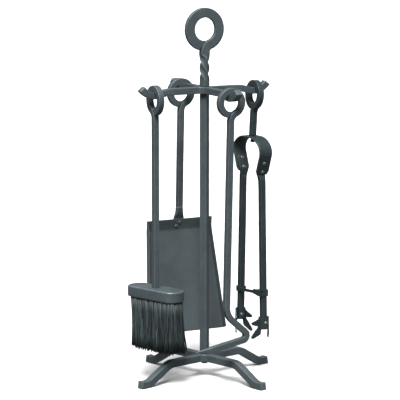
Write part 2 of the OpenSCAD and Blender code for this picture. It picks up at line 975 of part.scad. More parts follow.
// Clip round the right arm: a folded plate whose front carries a rounded tab, with
// a window on each side for the sliding strap
module link_clip() {
    half = bar_w / 2;
    window_h = strap_h + 2 * strap_gap;
    front_x = strap_x - strap_side - clip_wall;
    rear_x = seat_r + half + clip_wall;
    outer = half + clip_wall;
    tab_r = clip_h / 2 - tab_inset;
    color(iron)
        translate([0, clip_y, clip_z()])
            difference() {
                union() {
                    translate([front_x, -outer, -clip_h / 2])
                        cube([rear_x - front_x, 2 * outer, clip_h]);
                    translate([front_x, 0, -tab_r])
                        cube([clip_wall, outer + tab_l - tab_r, 2 * tab_r]);
                    translate([front_x, outer + tab_l - tab_r, 0])
                        rotate([0, 90, 0])
                            cylinder(h = clip_wall, r = tab_r);
                }
                translate([seat_r, 0, 0])
                    rotate([-arm_lean, 0, 0])
                        cube([bar_w, bar_w, 2 * clip_h], center = true);
                translate([front_x + clip_wall, -2 * outer, window_rise - window_h / 2])
                    cube([strap_t + 2 * strap_side + 1, 4 * outer, window_h]);
                translate([front_x - 1, outer + tab_l - tab_r, 0])
                    rotate([0, 90, 0])
                        cylinder(h = clip_wall + 2, d = tab_hole_d);
            }
}

ring_handle();
handle_stud();
hook_bar_front();
hook_bar_rear();
post();
leg_bar_front();
leg_bar_rear();
base_bolt();
base_washer();
brush_shaft();
brush_head();
brush_bristles();
shovel_shaft();
shovel_pan();
shovel_rivets();
poker();
tongs_hanger();
tongs_bow();
tongs_arm_left();
tongs_arm_right();
tongs_rivets_left();
tongs_rivets_right();
claw_left();
claw_right();
claw_rivet_left();
claw_rivet_right();
link_strap();
link_clip();
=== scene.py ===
"""Fireplace tool set: forged square-bar stand, brush, shovel, poker and tongs.

Sizes are in millimetres in the part's own frame: the origin is on the post's
axis at floor level, +Z up, hook arms along +X (tongs), +Y (shovel), -X (brush)
and -Y (poker). Meshes are made in metres.
"""
from __future__ import annotations

import logging
import math
from dataclasses import dataclass, field
from enum import Enum
from typing import Callable, Sequence

import bmesh
import bpy
from mathutils import Matrix, Vector, noise

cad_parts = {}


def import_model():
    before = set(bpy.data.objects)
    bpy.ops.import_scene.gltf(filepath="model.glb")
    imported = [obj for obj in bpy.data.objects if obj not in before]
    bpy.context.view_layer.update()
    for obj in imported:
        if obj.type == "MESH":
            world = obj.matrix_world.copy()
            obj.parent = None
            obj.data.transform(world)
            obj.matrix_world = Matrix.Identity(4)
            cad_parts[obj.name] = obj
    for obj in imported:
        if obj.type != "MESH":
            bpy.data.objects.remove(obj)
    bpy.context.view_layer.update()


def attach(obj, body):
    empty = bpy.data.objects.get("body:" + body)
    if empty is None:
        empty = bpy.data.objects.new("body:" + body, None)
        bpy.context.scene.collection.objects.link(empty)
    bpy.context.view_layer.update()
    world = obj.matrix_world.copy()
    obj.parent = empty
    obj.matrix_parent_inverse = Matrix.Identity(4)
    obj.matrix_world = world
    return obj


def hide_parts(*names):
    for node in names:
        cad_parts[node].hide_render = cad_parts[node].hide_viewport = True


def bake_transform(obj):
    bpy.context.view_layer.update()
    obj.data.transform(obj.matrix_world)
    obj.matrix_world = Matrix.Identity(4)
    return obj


LOG = logging.getLogger("fireplace_tools")
MM = 0.001
UP = Vector((0.0, 0.0, 1.0))
EDGE = "edge"
STRAND = "strand"
FACING = "facing"
BAR_CORNER = 0.7  # radius of a forged bar's corners, in millimetres


# --------------------------------------------------------------------------
# Finishes
# --------------------------------------------------------------------------
class Surface(Enum):
    """Named finishes of the set."""

    IRON = "wrought_iron"
    # painted light: a lighter copy of the iron paint, so the pan's floor looks lit from above
    SHEET_PAINTED_LIGHT = "rolled_sheet_painted_light"
    # painted shade: a darker copy of the iron paint for the tongs, which hang in shade
    TONGS = "tongs_iron_painted_shade"
    # painted highlight: a lighter copy of the iron paint for the rivet heads
    RIVET_PAINTED_HIGHLIGHT = "rivet_head"
    ZINC = "zinc_fastener"
    HAIR = "bristle_hair"
    FLOOR = "studio_floor"


class Nodes:
    """Short ways to place and wire shader or geometry nodes in one tree."""

    def __init__(self, tree: bpy.types.NodeTree) -> None:
        """Keep the tree that the nodes go into."""
        self.tree = tree

    def add(self, kind: str, **settings: object) -> bpy.types.Node:
        """Add a node.

        Args:
            kind: Blender's node type.
            settings: attributes to set on it.

        Returns:
            The new node.
        """
        node = self.tree.nodes.new(kind)
        for name, value in settings.items():
            setattr(node, name, value)
        return node

    def link(self, source: bpy.types.NodeSocket, target: bpy.types.NodeSocket) -> None:
        """Wire one socket to another."""
        self.tree.links.new(source, target)

    def feed(self, target: bpy.types.NodeSocket, value: object) -> None:
        """Wire a socket to the target, or set the target's constant.

        Args:
            target: the input to fill.
            value: a socket, or a constant.
        """
        if isinstance(value, bpy.types.NodeSocket):
            self.link(value, target)
        else:
            target.default_value = value

    def math(self, operation: str, a: object, b: object = 0.0, clamp: bool = False) -> bpy.types.NodeSocket:
        """Place a Math node.

        Args:
            operation: Blender's name for the operation.
            a: first value or socket.
            b: second value or socket.
            clamp: limit the result to 0..1.

        Returns:
            The node's output.
        """
        node = self.add("ShaderNodeMath", operation=operation, use_clamp=clamp)
        self.feed(node.inputs[0], a)
        self.feed(node.inputs[1], b)
        return node.outputs[0]

    def remap(self, value: object, low: float, high: float, to_low: object,
              to_high: object) -> bpy.types.NodeSocket:
        """Place a Map Range node.

        Args:
            value: the socket to map.
            low: start of the input range.
            high: end of the input range.
            to_low: start of the output range.
            to_high: end of the output range.

        Returns:
            The mapped value.
        """
        node = self.add("ShaderNodeMapRange")
        self.feed(node.inputs["Value"], value)
        node.inputs["From Min"].default_value = low
        node.inputs["From Max"].default_value = high
        self.feed(node.inputs["To Min"], to_low)
        self.feed(node.inputs["To Max"], to_high)
        return node.outputs["Result"]

    def noise(self, spot: bpy.types.NodeSocket, scale: object, detail: float,
              roughness: float = 0.5) -> bpy.types.NodeSocket:
        """Place a Noise Texture node.

        Args:
            spot: the coordinates.
            scale: its scale or a socket for it.
            detail: its detail.
            roughness: its roughness.

        Returns:
            The noise, from 0 to 1.
        """
        node = self.add("ShaderNodeTexNoise")
        self.link(spot, node.inputs["Vector"])
        self.feed(node.inputs["Scale"], scale)
        node.inputs["Detail"].default_value = detail
        node.inputs["Roughness"].default_value = roughness
        return node.outputs["Fac"]


@dataclass
class SharedEffects:
    """Shader node groups that more than one finish uses."""

    mottle: bpy.types.NodeTree = field(init=False)
    hammer: bpy.types.NodeTree = field(init=False)
    wear: bpy.types.NodeTree = field(init=False)

    def __post_init__(self) -> None:
        """Build the three groups."""
        self.mottle = self._mottle()
        self.hammer = self._hammer()
        self.wear = self._wear()

    @staticmethod
    def _group(name: str, ins: Sequence[tuple[str, str, object]],
               outs: Sequence[tuple[str, str]]) -> tuple[
                   bpy.types.NodeTree, Nodes, bpy.types.Node, bpy.types.Node]:
        """Start a node group.

        Args:
            name: the group's name.
            ins: name, socket type and default of each input.
            outs: name and socket type of each output.

        Returns:
            The tree, its helper, its input node and its output node.
        """
        tree = bpy.data.node_groups.new(name, "ShaderNodeTree")
        for label, kind, default in ins:
            socket = tree.interface.new_socket(label, in_out="INPUT", socket_type=kind)
            if default is not None:
                socket.default_value = default
        for label, kind in outs:
            tree.interface.new_socket(label, in_out="OUTPUT", socket_type=kind)
        nodes = Nodes(tree)
        return tree, nodes, nodes.add("NodeGroupInput"), nodes.add("NodeGroupOutput")

    def _mottle(self) -> bpy.types.NodeTree:
        """Cloudy unevenness of a sprayed finish, broad clouds over fine grain.

        Returns:
            The group.
        """
        tree, nodes, source, sink = self._group(
            "paint_mottle",
            [("Coordinates", "NodeSocketVector", None), ("Cloud Scale", "NodeSocketFloat", 30.0),
             ("Grain Scale", "NodeSocketFloat", 400.0), ("Grain Share", "NodeSocketFloat", 0.3)],
            [("Value", "NodeSocketFloat")])
        spot, share = source.outputs["Coordinates"], source.outputs["Grain Share"]
        cloud = nodes.noise(spot, source.outputs["Cloud Scale"], 5.0, 0.6)
        grain = nodes.noise(spot, source.outputs["Grain Scale"], 2.0)
        fine = nodes.math("MULTIPLY", grain, share)
        rest = nodes.math("SUBTRACT", 1.0, share)
        broad = nodes.math("MULTIPLY", cloud, rest)
        both = nodes.math("ADD", fine, broad)
        nodes.link(nodes.remap(both, 0.3, 0.7, 0.0, 1.0), sink.inputs["Value"])
        return tree

    def _hammer(self) -> bpy.types.NodeTree:
        """Shallow hammer facets with fine scale pits, as a height.

        Returns:
            The group.
        """
        tree, nodes, source, sink = self._group(
            "hammer_marks",
            [("Coordinates", "NodeSocketVector", None), ("Facet Scale", "NodeSocketFloat", 110.0),
             ("Pit Scale", "NodeSocketFloat", 900.0), ("Pit Share", "NodeSocketFloat", 0.25)],
            [("Height", "NodeSocketFloat")])
        facets = nodes.add("ShaderNodeTexVoronoi", feature="SMOOTH_F1")
        nodes.link(source.outputs["Coordinates"], facets.inputs["Vector"])
        nodes.link(source.outputs["Facet Scale"], facets.inputs["Scale"])
        facets.inputs["Smoothness"].default_value = 1.0
        pits = nodes.noise(source.outputs["Coordinates"], source.outputs["Pit Scale"], 3.0)
        fine = nodes.math("MULTIPLY", pits, source.outputs["Pit Share"])
        height = nodes.math("ADD", facets.outputs["Distance"], fine)
        nodes.link(height, sink.inputs["Height"])
        return tree

    def _wear(self) -> bpy.types.NodeTree:
        """Rubbed edges: a broken-up mask from the mesh's own edge attribute.

        Returns:
            The group.
        """
        tree, nodes, source, sink = self._group(
            "edge_rub",
            [("Coordinates", "NodeSocketVector", None), ("Edge", "NodeSocketFloat", 0.0),
             ("Amount", "NodeSocketFloat", 0.5), ("Scale", "NodeSocketFloat", 90.0)],
            [("Mask", "NodeSocketFloat")])
        broken = nodes.noise(source.outputs["Coordinates"], source.outputs["Scale"], 6.0, 0.65)
        patchy = nodes.remap(broken, 0.35, 0.65, 0.35, 1.0)
        edge = nodes.math("POWER", source.outputs["Edge"], 2.0)
        mask = nodes.math("MULTIPLY", edge, patchy)
        mask = nodes.math("MULTIPLY", mask, source.outputs["Amount"], clamp=True)
        nodes.link(mask, sink.inputs["Mask"])
        return tree


@dataclass(frozen=True)
class PaintedIron:
    """Satin graphite paint over forged or rolled iron."""

    name: str
    base: tuple[float, float, float]
    light: tuple[float, float, float]
    rubbed: tuple[float, float, float]
    roughness: tuple[float, float]
    metallic: float = 0.35
    coat: float = 0.12
    coat_roughness: float = 0.35
    facet_scale: float = 110.0
    bump: float = 0.25
    bump_depth: float = 0.0006
    wear: float = 0.5

    def build(self, effects: SharedEffects) -> bpy.types.Material:
        """Make the material.

        Args:
            effects: the shared node groups.

        Returns:
            The material.
        """
        material = bpy.data.materials.new(self.name)
        material.use_nodes = True
        material.diffuse_color = (*self.base, 1.0)
        nodes = Nodes(material.node_tree)
        shader = material.node_tree.nodes["Principled BSDF"]
        spot = nodes.add("ShaderNodeTexCoord").outputs["Object"]

        mottle = nodes.add("ShaderNodeGroup", node_tree=effects.mottle)
        nodes.link(spot, mottle.inputs["Coordinates"])
        tone = nodes.add("ShaderNodeMix", data_type="RGBA")
        nodes.link(mottle.outputs["Value"], tone.inputs["Factor"])
        tone.inputs["A"].default_value = (*self.base, 1.0)
        tone.inputs["B"].default_value = (*self.light, 1.0)

        edge = nodes.add("ShaderNodeAttribute", attribute_name=EDGE)
        wear = nodes.add("ShaderNodeGroup", node_tree=effects.wear)
        nodes.link(spot, wear.inputs["Coordinates"])
        nodes.link(edge.outputs["Fac"], wear.inputs["Edge"])
        wear.inputs["Amount"].default_value = self.wear
        rubbed = nodes.add("ShaderNodeMix", data_type="RGBA")
        nodes.link(wear.outputs["Mask"], rubbed.inputs["Factor"])
        nodes.link(tone.outputs["Result"], rubbed.inputs["A"])
        rubbed.inputs["B"].default_value = (*self.rubbed, 1.0)
        nodes.link(rubbed.outputs["Result"], shader.inputs["Base Color"])

        gloss = nodes.remap(mottle.outputs["Value"], 0.0, 1.0, self.roughness[0], self.roughness[1])
        nodes.link(gloss, shader.inputs["Roughness"])

        hammer = nodes.add("ShaderNodeGroup", node_tree=effects.hammer)
        nodes.link(spot, hammer.inputs["Coordinates"])
        hammer.inputs["Facet Scale"].default_value = self.facet_scale
        bump = nodes.add("ShaderNodeBump")
        bump.inputs["Strength"].default_value = self.bump
        bump.inputs["Distance"].default_value = self.bump_depth
        nodes.link(hammer.outputs["Height"], bump.inputs["Height"])
        nodes.link(bump.outputs["Normal"], shader.inputs["Normal"])
        shader.inputs["Metallic"].default_value = self.metallic
        shader.inputs["Coat Weight"].default_value = self.coat
        shader.inputs["Coat Roughness"].default_value = self.coat_roughness
        return material


@dataclass(frozen=True)
class BristleHair:
    """Coarse dark brush fibre, each strand a little lighter or darker; the pale streaks are partly the strands'
    own tone and partly painted highlight.
    """

    name: str
    dark: tuple[float, float, float]
    pale: tuple[float, float, float]
    roughness: float = 0.55

    def build(self) -> bpy.types.Material:
        """Make the material, with its pale streaks along each strand, part own tone and part painted highlight.

        Returns:
            The material.
        """
        material = bpy.data.materials.new(self.name)
        material.use_nodes = True
        material.diffuse_color = (*self.dark, 1.0)
        nodes = Nodes(material.node_tree)
        shader = material.node_tree.nodes["Principled BSDF"]
        own = nodes.add("ShaderNodeAttribute", attribute_name=STRAND)
        spot = nodes.add("ShaderNodeTexCoord").outputs["Object"]
        stretch = nodes.add("ShaderNodeMapping")
        stretch.inputs["Scale"].default_value = (600.0, 600.0, 40.0)
        nodes.link(spot, stretch.inputs["Vector"])
        streak = nodes.noise(stretch.outputs["Vector"], 1.0, 3.0)
        # pale streaks: each strand's own tone, and painted highlight on the fibres
        strand_tone_and_highlight = nodes.math("MULTIPLY", own.outputs["Fac"], streak)
        strand_tone_and_highlight = nodes.math("MULTIPLY", strand_tone_and_highlight, 1.7, clamp=True)
        blend = nodes.add("ShaderNodeMix", data_type="RGBA")
        nodes.link(strand_tone_and_highlight, blend.inputs["Factor"])
        blend.inputs["A"].default_value = (*self.dark, 1.0)
        blend.inputs["B"].default_value = (*self.pale, 1.0)
        nodes.link(blend.outputs["Result"], shader.inputs["Base Color"])
        gloss = nodes.remap(streak, 0.3, 0.7, self.roughness - 0.1, self.roughness + 0.15)
        nodes.link(gloss, shader.inputs["Roughness"])
        bump = nodes.add("ShaderNodeBump")
        bump.inputs["Strength"].default_value = 0.3
        bump.inputs["Distance"].default_value = 0.0002
        nodes.link(streak, bump.inputs["Height"])
        nodes.link(bump.outputs["Normal"], shader.inputs["Normal"])
        return material


@dataclass(frozen=True)
class StudioFloor:
    """Plain pale seamless floor."""

    name: str
    tone: tuple[float, float, float]

    def build(self) -> bpy.types.Material:
        """Make the matt floor material.

        Returns:
            The material.
        """
        material = bpy.data.materials.new(self.name)
        material.use_nodes = True
        shader = material.node_tree.nodes["Principled BSDF"]
        shader.inputs["Base Color"].default_value = (*self.tone, 1.0)
        shader.inputs["Roughness"].default_value = 0.9
        return material


class Palette:
    """Every finish of the set, built once."""

    def __init__(self) -> None:
        """Build the shared effects and then the finishes."""
        effects = SharedEffects()
        iron = PaintedIron(
            Surface.IRON.value, (0.072, 0.094, 0.104), (0.118, 0.148, 0.162), (0.27, 0.32, 0.345), (0.38, 0.52))
        # Painted light: the pan's sheet is a lighter copy of the iron paint, so its up-facing floor looks lit.
        sheet = PaintedIron(
            Surface.SHEET_PAINTED_LIGHT.value, (0.094, 0.119, 0.129), (0.13, 0.16, 0.172), (0.26, 0.3, 0.32), (0.38, 0.5),
            facet_scale=60.0, bump=0.15, wear=0.35)
        # Painted shade: the tongs are the same iron paint, made darker because they hang in shade.
        tongs = PaintedIron(
            Surface.TONGS.value, (0.028, 0.043, 0.047), (0.052, 0.074, 0.079), (0.17, 0.21, 0.22), (0.34, 0.48),
            wear=0.4)
        # Painted highlight: the rivet heads are the dark iron paint, made lighter to stand for the bright rings of
        # light on them.
        rivet = PaintedIron(
            Surface.RIVET_PAINTED_HIGHLIGHT.value, (0.12, 0.15, 0.158), (0.2, 0.24, 0.252), (0.42, 0.48, 0.5), (0.26, 0.38),
            metallic=0.55, facet_scale=300.0, wear=0.7)
        zinc = PaintedIron(
            Surface.ZINC.value, (0.4, 0.42, 0.43), (0.52, 0.54, 0.55), (0.7, 0.7, 0.7), (0.3, 0.45),
            metallic=1.0, coat=0.0, bump=0.1)
        # The pale colour of the hair is partly the strands' own tone and partly painted highlight on the fibres.
        hair = BristleHair(Surface.HAIR.value, (0.006, 0.01, 0.011), (0.072, 0.098, 0.103))
        floor = StudioFloor(Surface.FLOOR.value, (0.92, 0.92, 0.92))
        self._made = {
            Surface.IRON: iron.build(effects),
            Surface.SHEET_PAINTED_LIGHT: sheet.build(effects),
            Surface.TONGS: tongs.build(effects),
            Surface.RIVET_PAINTED_HIGHLIGHT: rivet.build(effects),
            Surface.ZINC: zinc.build(effects),
            Surface.HAIR: hair.build(),
            Surface.FLOOR: floor.build(),
        }

    def of(self, surface: Surface) -> bpy.types.Material:
        """Give the material of a finish."""
        return self._made[surface]

    def dress(self, piece: bpy.types.Object, surface: Surface) -> None:
        """Put a finish on a piece, in place of what it had.

        Args:
            piece: the piece.
            surface: its new finish.
        """
        material = self.of(surface)
        if piece.material_slots:
            for slot in piece.material_slots:
                slot.material = material
        else:
            piece.data.materials.append(material)


# --------------------------------------------------------------------------
# Forged bars
# --------------------------------------------------------------------------
@dataclass(frozen=True)
class Station:
    """One cross-section of a bar, in millimetres.

    The section's first direction lies in the bar's plane and the second lies
    across it; a mitred or slanted section has longer or leaning directions.
    """

    at: Vector
    inward: Vector
    across: Vector
    half_in: float
    half_across: float
    corner: float = BAR_CORNER


def eased(share: float) -> float:
    """Smooth a share from 0 to 1 so that it starts and stops gently."""
    return share * share * (3.0 - 2.0 * share)


@dataclass
class BarPath:
    """A flat path for a bar: it is walked from a start, straight and in bends.

    Positions are (u, v) in the path's own plane; each step adds stations.
    """

    origin: Vector
    u_dir: Vector
    v_dir: Vector
    half_in: float
    half_across: float
    corner: float = BAR_CORNER
    spacing: float = 3.0
    bend_step: float = 9.0  # largest turn between two sections of a bend, in degrees
    crook_step: float = 7.0  # the same in an eye's crook
    u: float = 0.0
    v: float = 0.0
    heading: float = 0.0
    stations: list[Station] = field(default_factory=list)

    @property
    def across(self) -> Vector:
        """Direction across the path's plane."""
        return self.u_dir.cross(self.v_dir)

    def world(self, u: float, v: float) -> Vector:
        """Turn a point of the plane into a point of the part's frame."""
        return self.origin + self.u_dir * u + self.v_dir * v

    def _left(self, heading: float) -> Vector:
        """Direction to the left of a heading, in the part's frame."""
        return self.u_dir * -math.sin(heading) + self.v_dir * math.cos(heading)

    def mark(self) -> None:
        """Add a station here, square to the heading."""
        self.stations.append(Station(
            self.world(self.u, self.v), self._left(self.heading), self.across,
            self.half_in, self.half_across, self.corner))

    def run(self, length: float, half_in: float | None = None, half_across: float | None = None,
            roll_from: float = 0.0, roll_to: float = 0.0) -> None:
        """Go straight, and take the section to new half sizes on the way.

        Args:
            length: distance to go.
            half_in: half size in the plane at the end.
            half_across: half size across the plane at the end.
            roll_from: the section's turn about the path at the start, in degrees.
            roll_to: its turn at the end.
        """
        count = max(1, math.ceil(length / self.spacing))
        in_0, across_0 = self.half_in, self.half_across
        in_1 = in_0 if half_in is None else half_in
        across_1 = across_0 if half_across is None else half_across
        u_0, v_0 = self.u, self.v
        for step in range(1, count + 1):
            share = step / count
            ease = eased(share)
            self.u = u_0 + math.cos(self.heading) * length * share
            self.v = v_0 + math.sin(self.heading) * length * share
            self.half_in = in_0 + (in_1 - in_0) * ease
            self.half_across = across_0 + (across_1 - across_0) * ease
            roll = math.radians(roll_from + (roll_to - roll_from) * share)
            left = self._left(self.heading)
            self.stations.append(Station(
                self.world(self.u, self.v),
                left * math.cos(roll) + self.across * math.sin(roll),
                self.across * math.cos(roll) - left * math.sin(roll),
                self.half_in, self.half_across, self.corner))

    def bend(self, degrees: float, radius: float) -> None:
        """Bend to the left by an angle; a negative angle bends to the right.

        Args:
            degrees: the bend's angle.
            radius: radius of the centre line.
        """
        side = 1.0 if degrees > 0 else -1.0
        turn = math.radians(degrees)
        count = max(2, math.ceil(max(abs(turn) * radius / self.spacing, abs(degrees) / self.bend_step)))
        centre_u = self.u - side * radius * math.sin(self.heading)
        centre_v = self.v + side * radius * math.cos(self.heading)
        start = self.heading
        for step in range(1, count + 1):
            self.heading = start + turn * step / count
            self.u = centre_u + side * radius * math.sin(self.heading)
            self.v = centre_v - side * radius * math.cos(self.heading)
            self.mark()

    def eye(self, centre_v: float, radius: float, crook: float, side: float, gap: float = 0.35,
            half_in: float | None = None, half_across: float | None = None) -> None:
        """Go on into a hanging eye whose free end butts on the shaft.

        The path stands at u = 0, heading up. It swings out to one side in a
        crook, round the eye, and its end is scarfed to lie on the crook.

        Args:
            centre_v: height of the eye's centre in the plane.
            radius: radius of the eye's centre line.
            crook: radius of the crook's centre line.
            side: 1 to swing to the right (+u) first, -1 to the left.
            gap: slit left at the butted end.
            half_in: half size in the plane round the eye.
            half_across: half size across the plane round the eye.
        """
        drop = math.sqrt(radius * radius + 2.0 * radius * crook)
        phi = math.atan2(crook, drop)
        self.run(centre_v - drop - self.v)
        in_0, across_0 = self.half_in, self.half_across
        in_1 = in_0 if half_in is None else half_in
        across_1 = across_0 if half_across is None else half_across
        swing = math.pi / 2.0 - phi
        count = max(4, math.ceil(math.degrees(swing) / self.crook_step))
        for step in range(1, count + 1):
            share = step / count
            ease = eased(share)
            angle = swing * share
            self.half_in = in_0 + (in_1 - in_0) * ease
            self.half_across = across_0 + (across_1 - across_0) * ease
            u = side * (crook - crook * math.cos(angle))
            v = centre_v - drop + crook * math.sin(angle)
            left = self.u_dir * (-side * math.cos(angle)) + self.v_dir * math.sin(angle)
            self.stations.append(Station(
                self.world(u, v), left * side, self.across, self.half_in, self.half_across, self.corner))
        reach = radius + crook
        wall = crook + self.half_in + gap

        def butt(r: float) -> float:
            """Angle at which a fibre of the bar at radius r meets the crook."""
            cosine = (r * r + reach * reach - wall * wall) / (2.0 * r * reach)
            return phi - math.acos(max(-1.0, min(1.0, cosine)))

        def place(r: float, share: float) -> Vector:
            """Point of the fibre at radius r, a share of the way round the eye."""
            angle = phi + share * (2.0 * math.pi + butt(r) - phi)
            return self.world(side * r * math.sin(angle), centre_v - r * math.cos(angle))

        inner, outer = radius - self.half_in, radius + self.half_in
        arc = 2.0 * math.pi + butt(radius) - phi
        rounds = math.ceil(arc * radius / self.spacing)
        for step in range(1, rounds + 1):
            share = step / rounds
            low, high = place(inner, share), place(outer, share)
            self.stations.append(Station(
                place(radius, share), (low - high) * (side / (2.0 * self.half_in)), self.across,
                self.half_in, self.half_across, self.corner))


@dataclass
class Forge:
    """Makes closed meshes of hammered bars from their stations."""

    palette: Palette
    dent: float = 0.16
    dent_length: float = 11.0
    fine_length: float = 0.37  # length of the fine dents, as a share of the broad ones
    fine_share: float = 0.35  # depth of the fine dents, as a share of the broad ones
    seed_steps: tuple[float, float, float] = (17.3, 5.1, 9.7)
    corner_points: int = 4
    flat_points: int = 3
    corner_limit: float = 0.9  # most of a half size that a corner's radius may take
    edge_fade: float = 0.6  # drop of the edge value from a corner's middle to its sides
    chamfer: float = 0.5
    rim_edge: float = 0.9  # edge value on an end's rim
    rim_inner: float = 0.3  # edge value a chamfer's width inside it
    thinnest: float = 0.2

    def _section(self, station: Station) -> list[tuple[float, float, float, float, float]]:
        """Outline of a section.

        Args:
            station: the section's sizes.

        Returns:
            For each point its two offsets, its two normal parts and its edge value.
        """
        half_a, half_b = station.half_in, station.half_across
        corner = min(station.corner, half_a * self.corner_limit, half_b * self.corner_limit)
        points = []
        signs = ((1, 1), (-1, 1), (-1, -1), (1, -1))
        for index, (sa, sb) in enumerate(signs):
            start = index * math.pi / 2.0
            for step in range(self.corner_points + 1):
                angle = start + step / self.corner_points * math.pi / 2.0
                na, nb = math.cos(angle), math.sin(angle)
                mid = abs(step / self.corner_points - 0.5) * 2.0
                points.append((sa * (half_a - corner) + corner * na, sb * (half_b - corner) + corner * nb,
                               na, nb, 1.0 - self.edge_fade * mid))
            next_a, next_b = signs[(index + 1) % 4]
            end_angle = start + math.pi / 2.0
            na, nb = math.cos(end_angle), math.sin(end_angle)
            from_a = sa * (half_a - corner) + corner * na
            from_b = sb * (half_b - corner) + corner * nb
            to_a = next_a * (half_a - corner) + corner * na
            to_b = next_b * (half_b - corner) + corner * nb
            for step in range(1, self.flat_points + 1):
                share = step / (self.flat_points + 1)
                points.append((from_a + (to_a - from_a) * share, from_b + (to_b - from_b) * share,
                               na, nb, 0.0))
        return points

    def bar(self, name: str, stations: Sequence[Station], surface: Surface, dent: float | None = None,
            seed: float = 0.0) -> bpy.types.Object:
        """Make a bar.

        Args:
            name: the piece's name.
            stations: its sections in order.
            surface: its finish.
            dent: depth of the hammer marks, in millimetres.
            seed: moves the pattern of the marks.

        Returns:
            The piece.
        """
        depth = self.dent if dent is None else dent
        mesh = bmesh.new()
        layer = mesh.verts.layers.float.new(EDGE)
        shift = Vector([seed * step for step in self.seed_steps])
        rows = []
        for station, shrink, rim in self._with_ends(list(stations)):
            row = []
            for a, b, na, nb, edge in self._section(station):
                keep_a = max(0.0, 1.0 - shrink / max(station.half_in, self.thinnest))
                keep_b = max(0.0, 1.0 - shrink / max(station.half_across, self.thinnest))
                flat = station.at + station.inward * a * keep_a + station.across * b * keep_b
                push = noise.noise((flat + shift) / self.dent_length) * depth
                fine = noise.noise((flat - shift) / (self.dent_length * self.fine_length))
                push += fine * depth * self.fine_share
                spot = flat + (station.inward * na + station.across * nb) * push
                vert = mesh.verts.new(spot * MM)
                vert[layer] = max(edge, rim)
                row.append(vert)
            rows.append(row)
        self._skin(mesh, rows, flat_ends=True)
        return self.finish(name, mesh, surface)

    @staticmethod
    def _skin(mesh: bmesh.types.BMesh, rows: Sequence[Sequence[bmesh.types.BMVert]],
              flat_ends: bool = False) -> None:
        """Close rows of vertices into a skin, with a fan over each end.

        Args:
            mesh: the mesh that holds the vertices.
            rows: the rings of vertices, in order.
            flat_ends: tag the faces of the ends, which keeps them flat.
        """
        size = len(rows[0])
        for first, second in zip(rows, rows[1:]):
            for i in range(size):
                j = (i + 1) % size
                mesh.faces.new((first[i], first[j], second[j], second[i]))
        for row in (rows[0], rows[-1]):
            hub = mesh.verts.new(sum((vert.co for vert in row), Vector()) / size)
            for i in range(size):
                mesh.faces.new((row[i], row[(i + 1) % size], hub)).tag = flat_ends

    def _with_ends(self, stations: list[Station]) -> list[tuple[Station, float, float]]:
        """Add softened ends: each end gets a smaller section on its face.

        Args:
            stations: the bar's sections.

        Returns:
            Each section with how much it shrinks and its rim value.
        """
        def near(end: Station, other: Station) -> Station:
            """Section a little inside an end."""
            gap = other.at - end.at
            step = min(self.chamfer, gap.length * 0.5)
            return Station(end.at + gap.normalized() * step, end.inward, end.across, end.half_in,
                           end.half_across, end.corner)

        first, last = stations[0], stations[-1]
        out = [(first, self.chamfer, self.rim_edge), (near(first, stations[1]), 0.0, self.rim_inner)]
        out += [(station, 0.0, 0.0) for station in stations[1:-1]]
        out += [(near(last, stations[-2]), 0.0, self.rim_inner), (last, self.chamfer, self.rim_edge)]
        return out

    def finish(self, name: str, mesh: bmesh.types.BMesh, surface: Surface) -> bpy.types.Object:
        """Turn a bmesh into a dressed piece, smooth but for its tagged faces.

        Args:
            name: the piece's name.
            mesh: its mesh, in metres.
            surface: its finish.

        Returns:
            The piece.
        """
        for face in mesh.faces:
            face.smooth = not face.tag
        bmesh.ops.recalc_face_normals(mesh, faces=mesh.faces)
        data = bpy.data.meshes.new(name)
        mesh.to_mesh(data)
        mesh.free()
        piece = bpy.data.objects.new(name, data)
        bpy.context.collection.objects.link(piece)
        self.palette.dress(piece, surface)
        LOG.info("%s: %d faces", name, len(data.polygons))
        return piece

    def slab(self, name: str, plan: Callable[[float], list[tuple[float, float]]], low: float, high: float,
             round_r: float, surface: Surface, place: Matrix) -> bpy.types.Object:
        """Make a block from its plan, with rounded top and bottom edges.

        Args:
            name: the piece's name.
            plan: gives the outline for an inset, always with as many points.
            low: height of the bottom.
            high: height of the top.
            round_r: radius of the rounded edges.
            surface: the finish.
            place: moves the block from its own axes to its place, in millimetres.

        Returns:
            The piece.
        """
        mesh = bmesh.new()
        layer = mesh.verts.layers.float.new(EDGE)
        rings: list[tuple[float, float, float]] = []
        steps = 5
        for step in range(steps + 1):
            angle = step / steps * math.pi / 2.0
            rings.append((round_r * (1.0 - math.sin(angle)), low + round_r * (1.0 - math.cos(angle)),
                          math.sin(2.0 * angle)))
        levels = 6
        for step in range(1, levels):
            rings.append((0.0, low + round_r + (high - low - 2.0 * round_r) * step / levels, 0.0))
        for step in range(steps, -1, -1):
            angle = step / steps * math.pi / 2.0
            rings.append((round_r * (1.0 - math.sin(angle)), high - round_r * (1.0 - math.cos(angle)),
                          math.sin(2.0 * angle)))
        rows = []
        for inset, z, edge in rings:
            row = []
            for x, y in plan(inset):
                vert = mesh.verts.new((place @ Vector((x, y, z))) * MM)
                vert[layer] = edge
                row.append(vert)
            rows.append(row)
        self._skin(mesh, rows)
        return self.finish(name, mesh, surface)


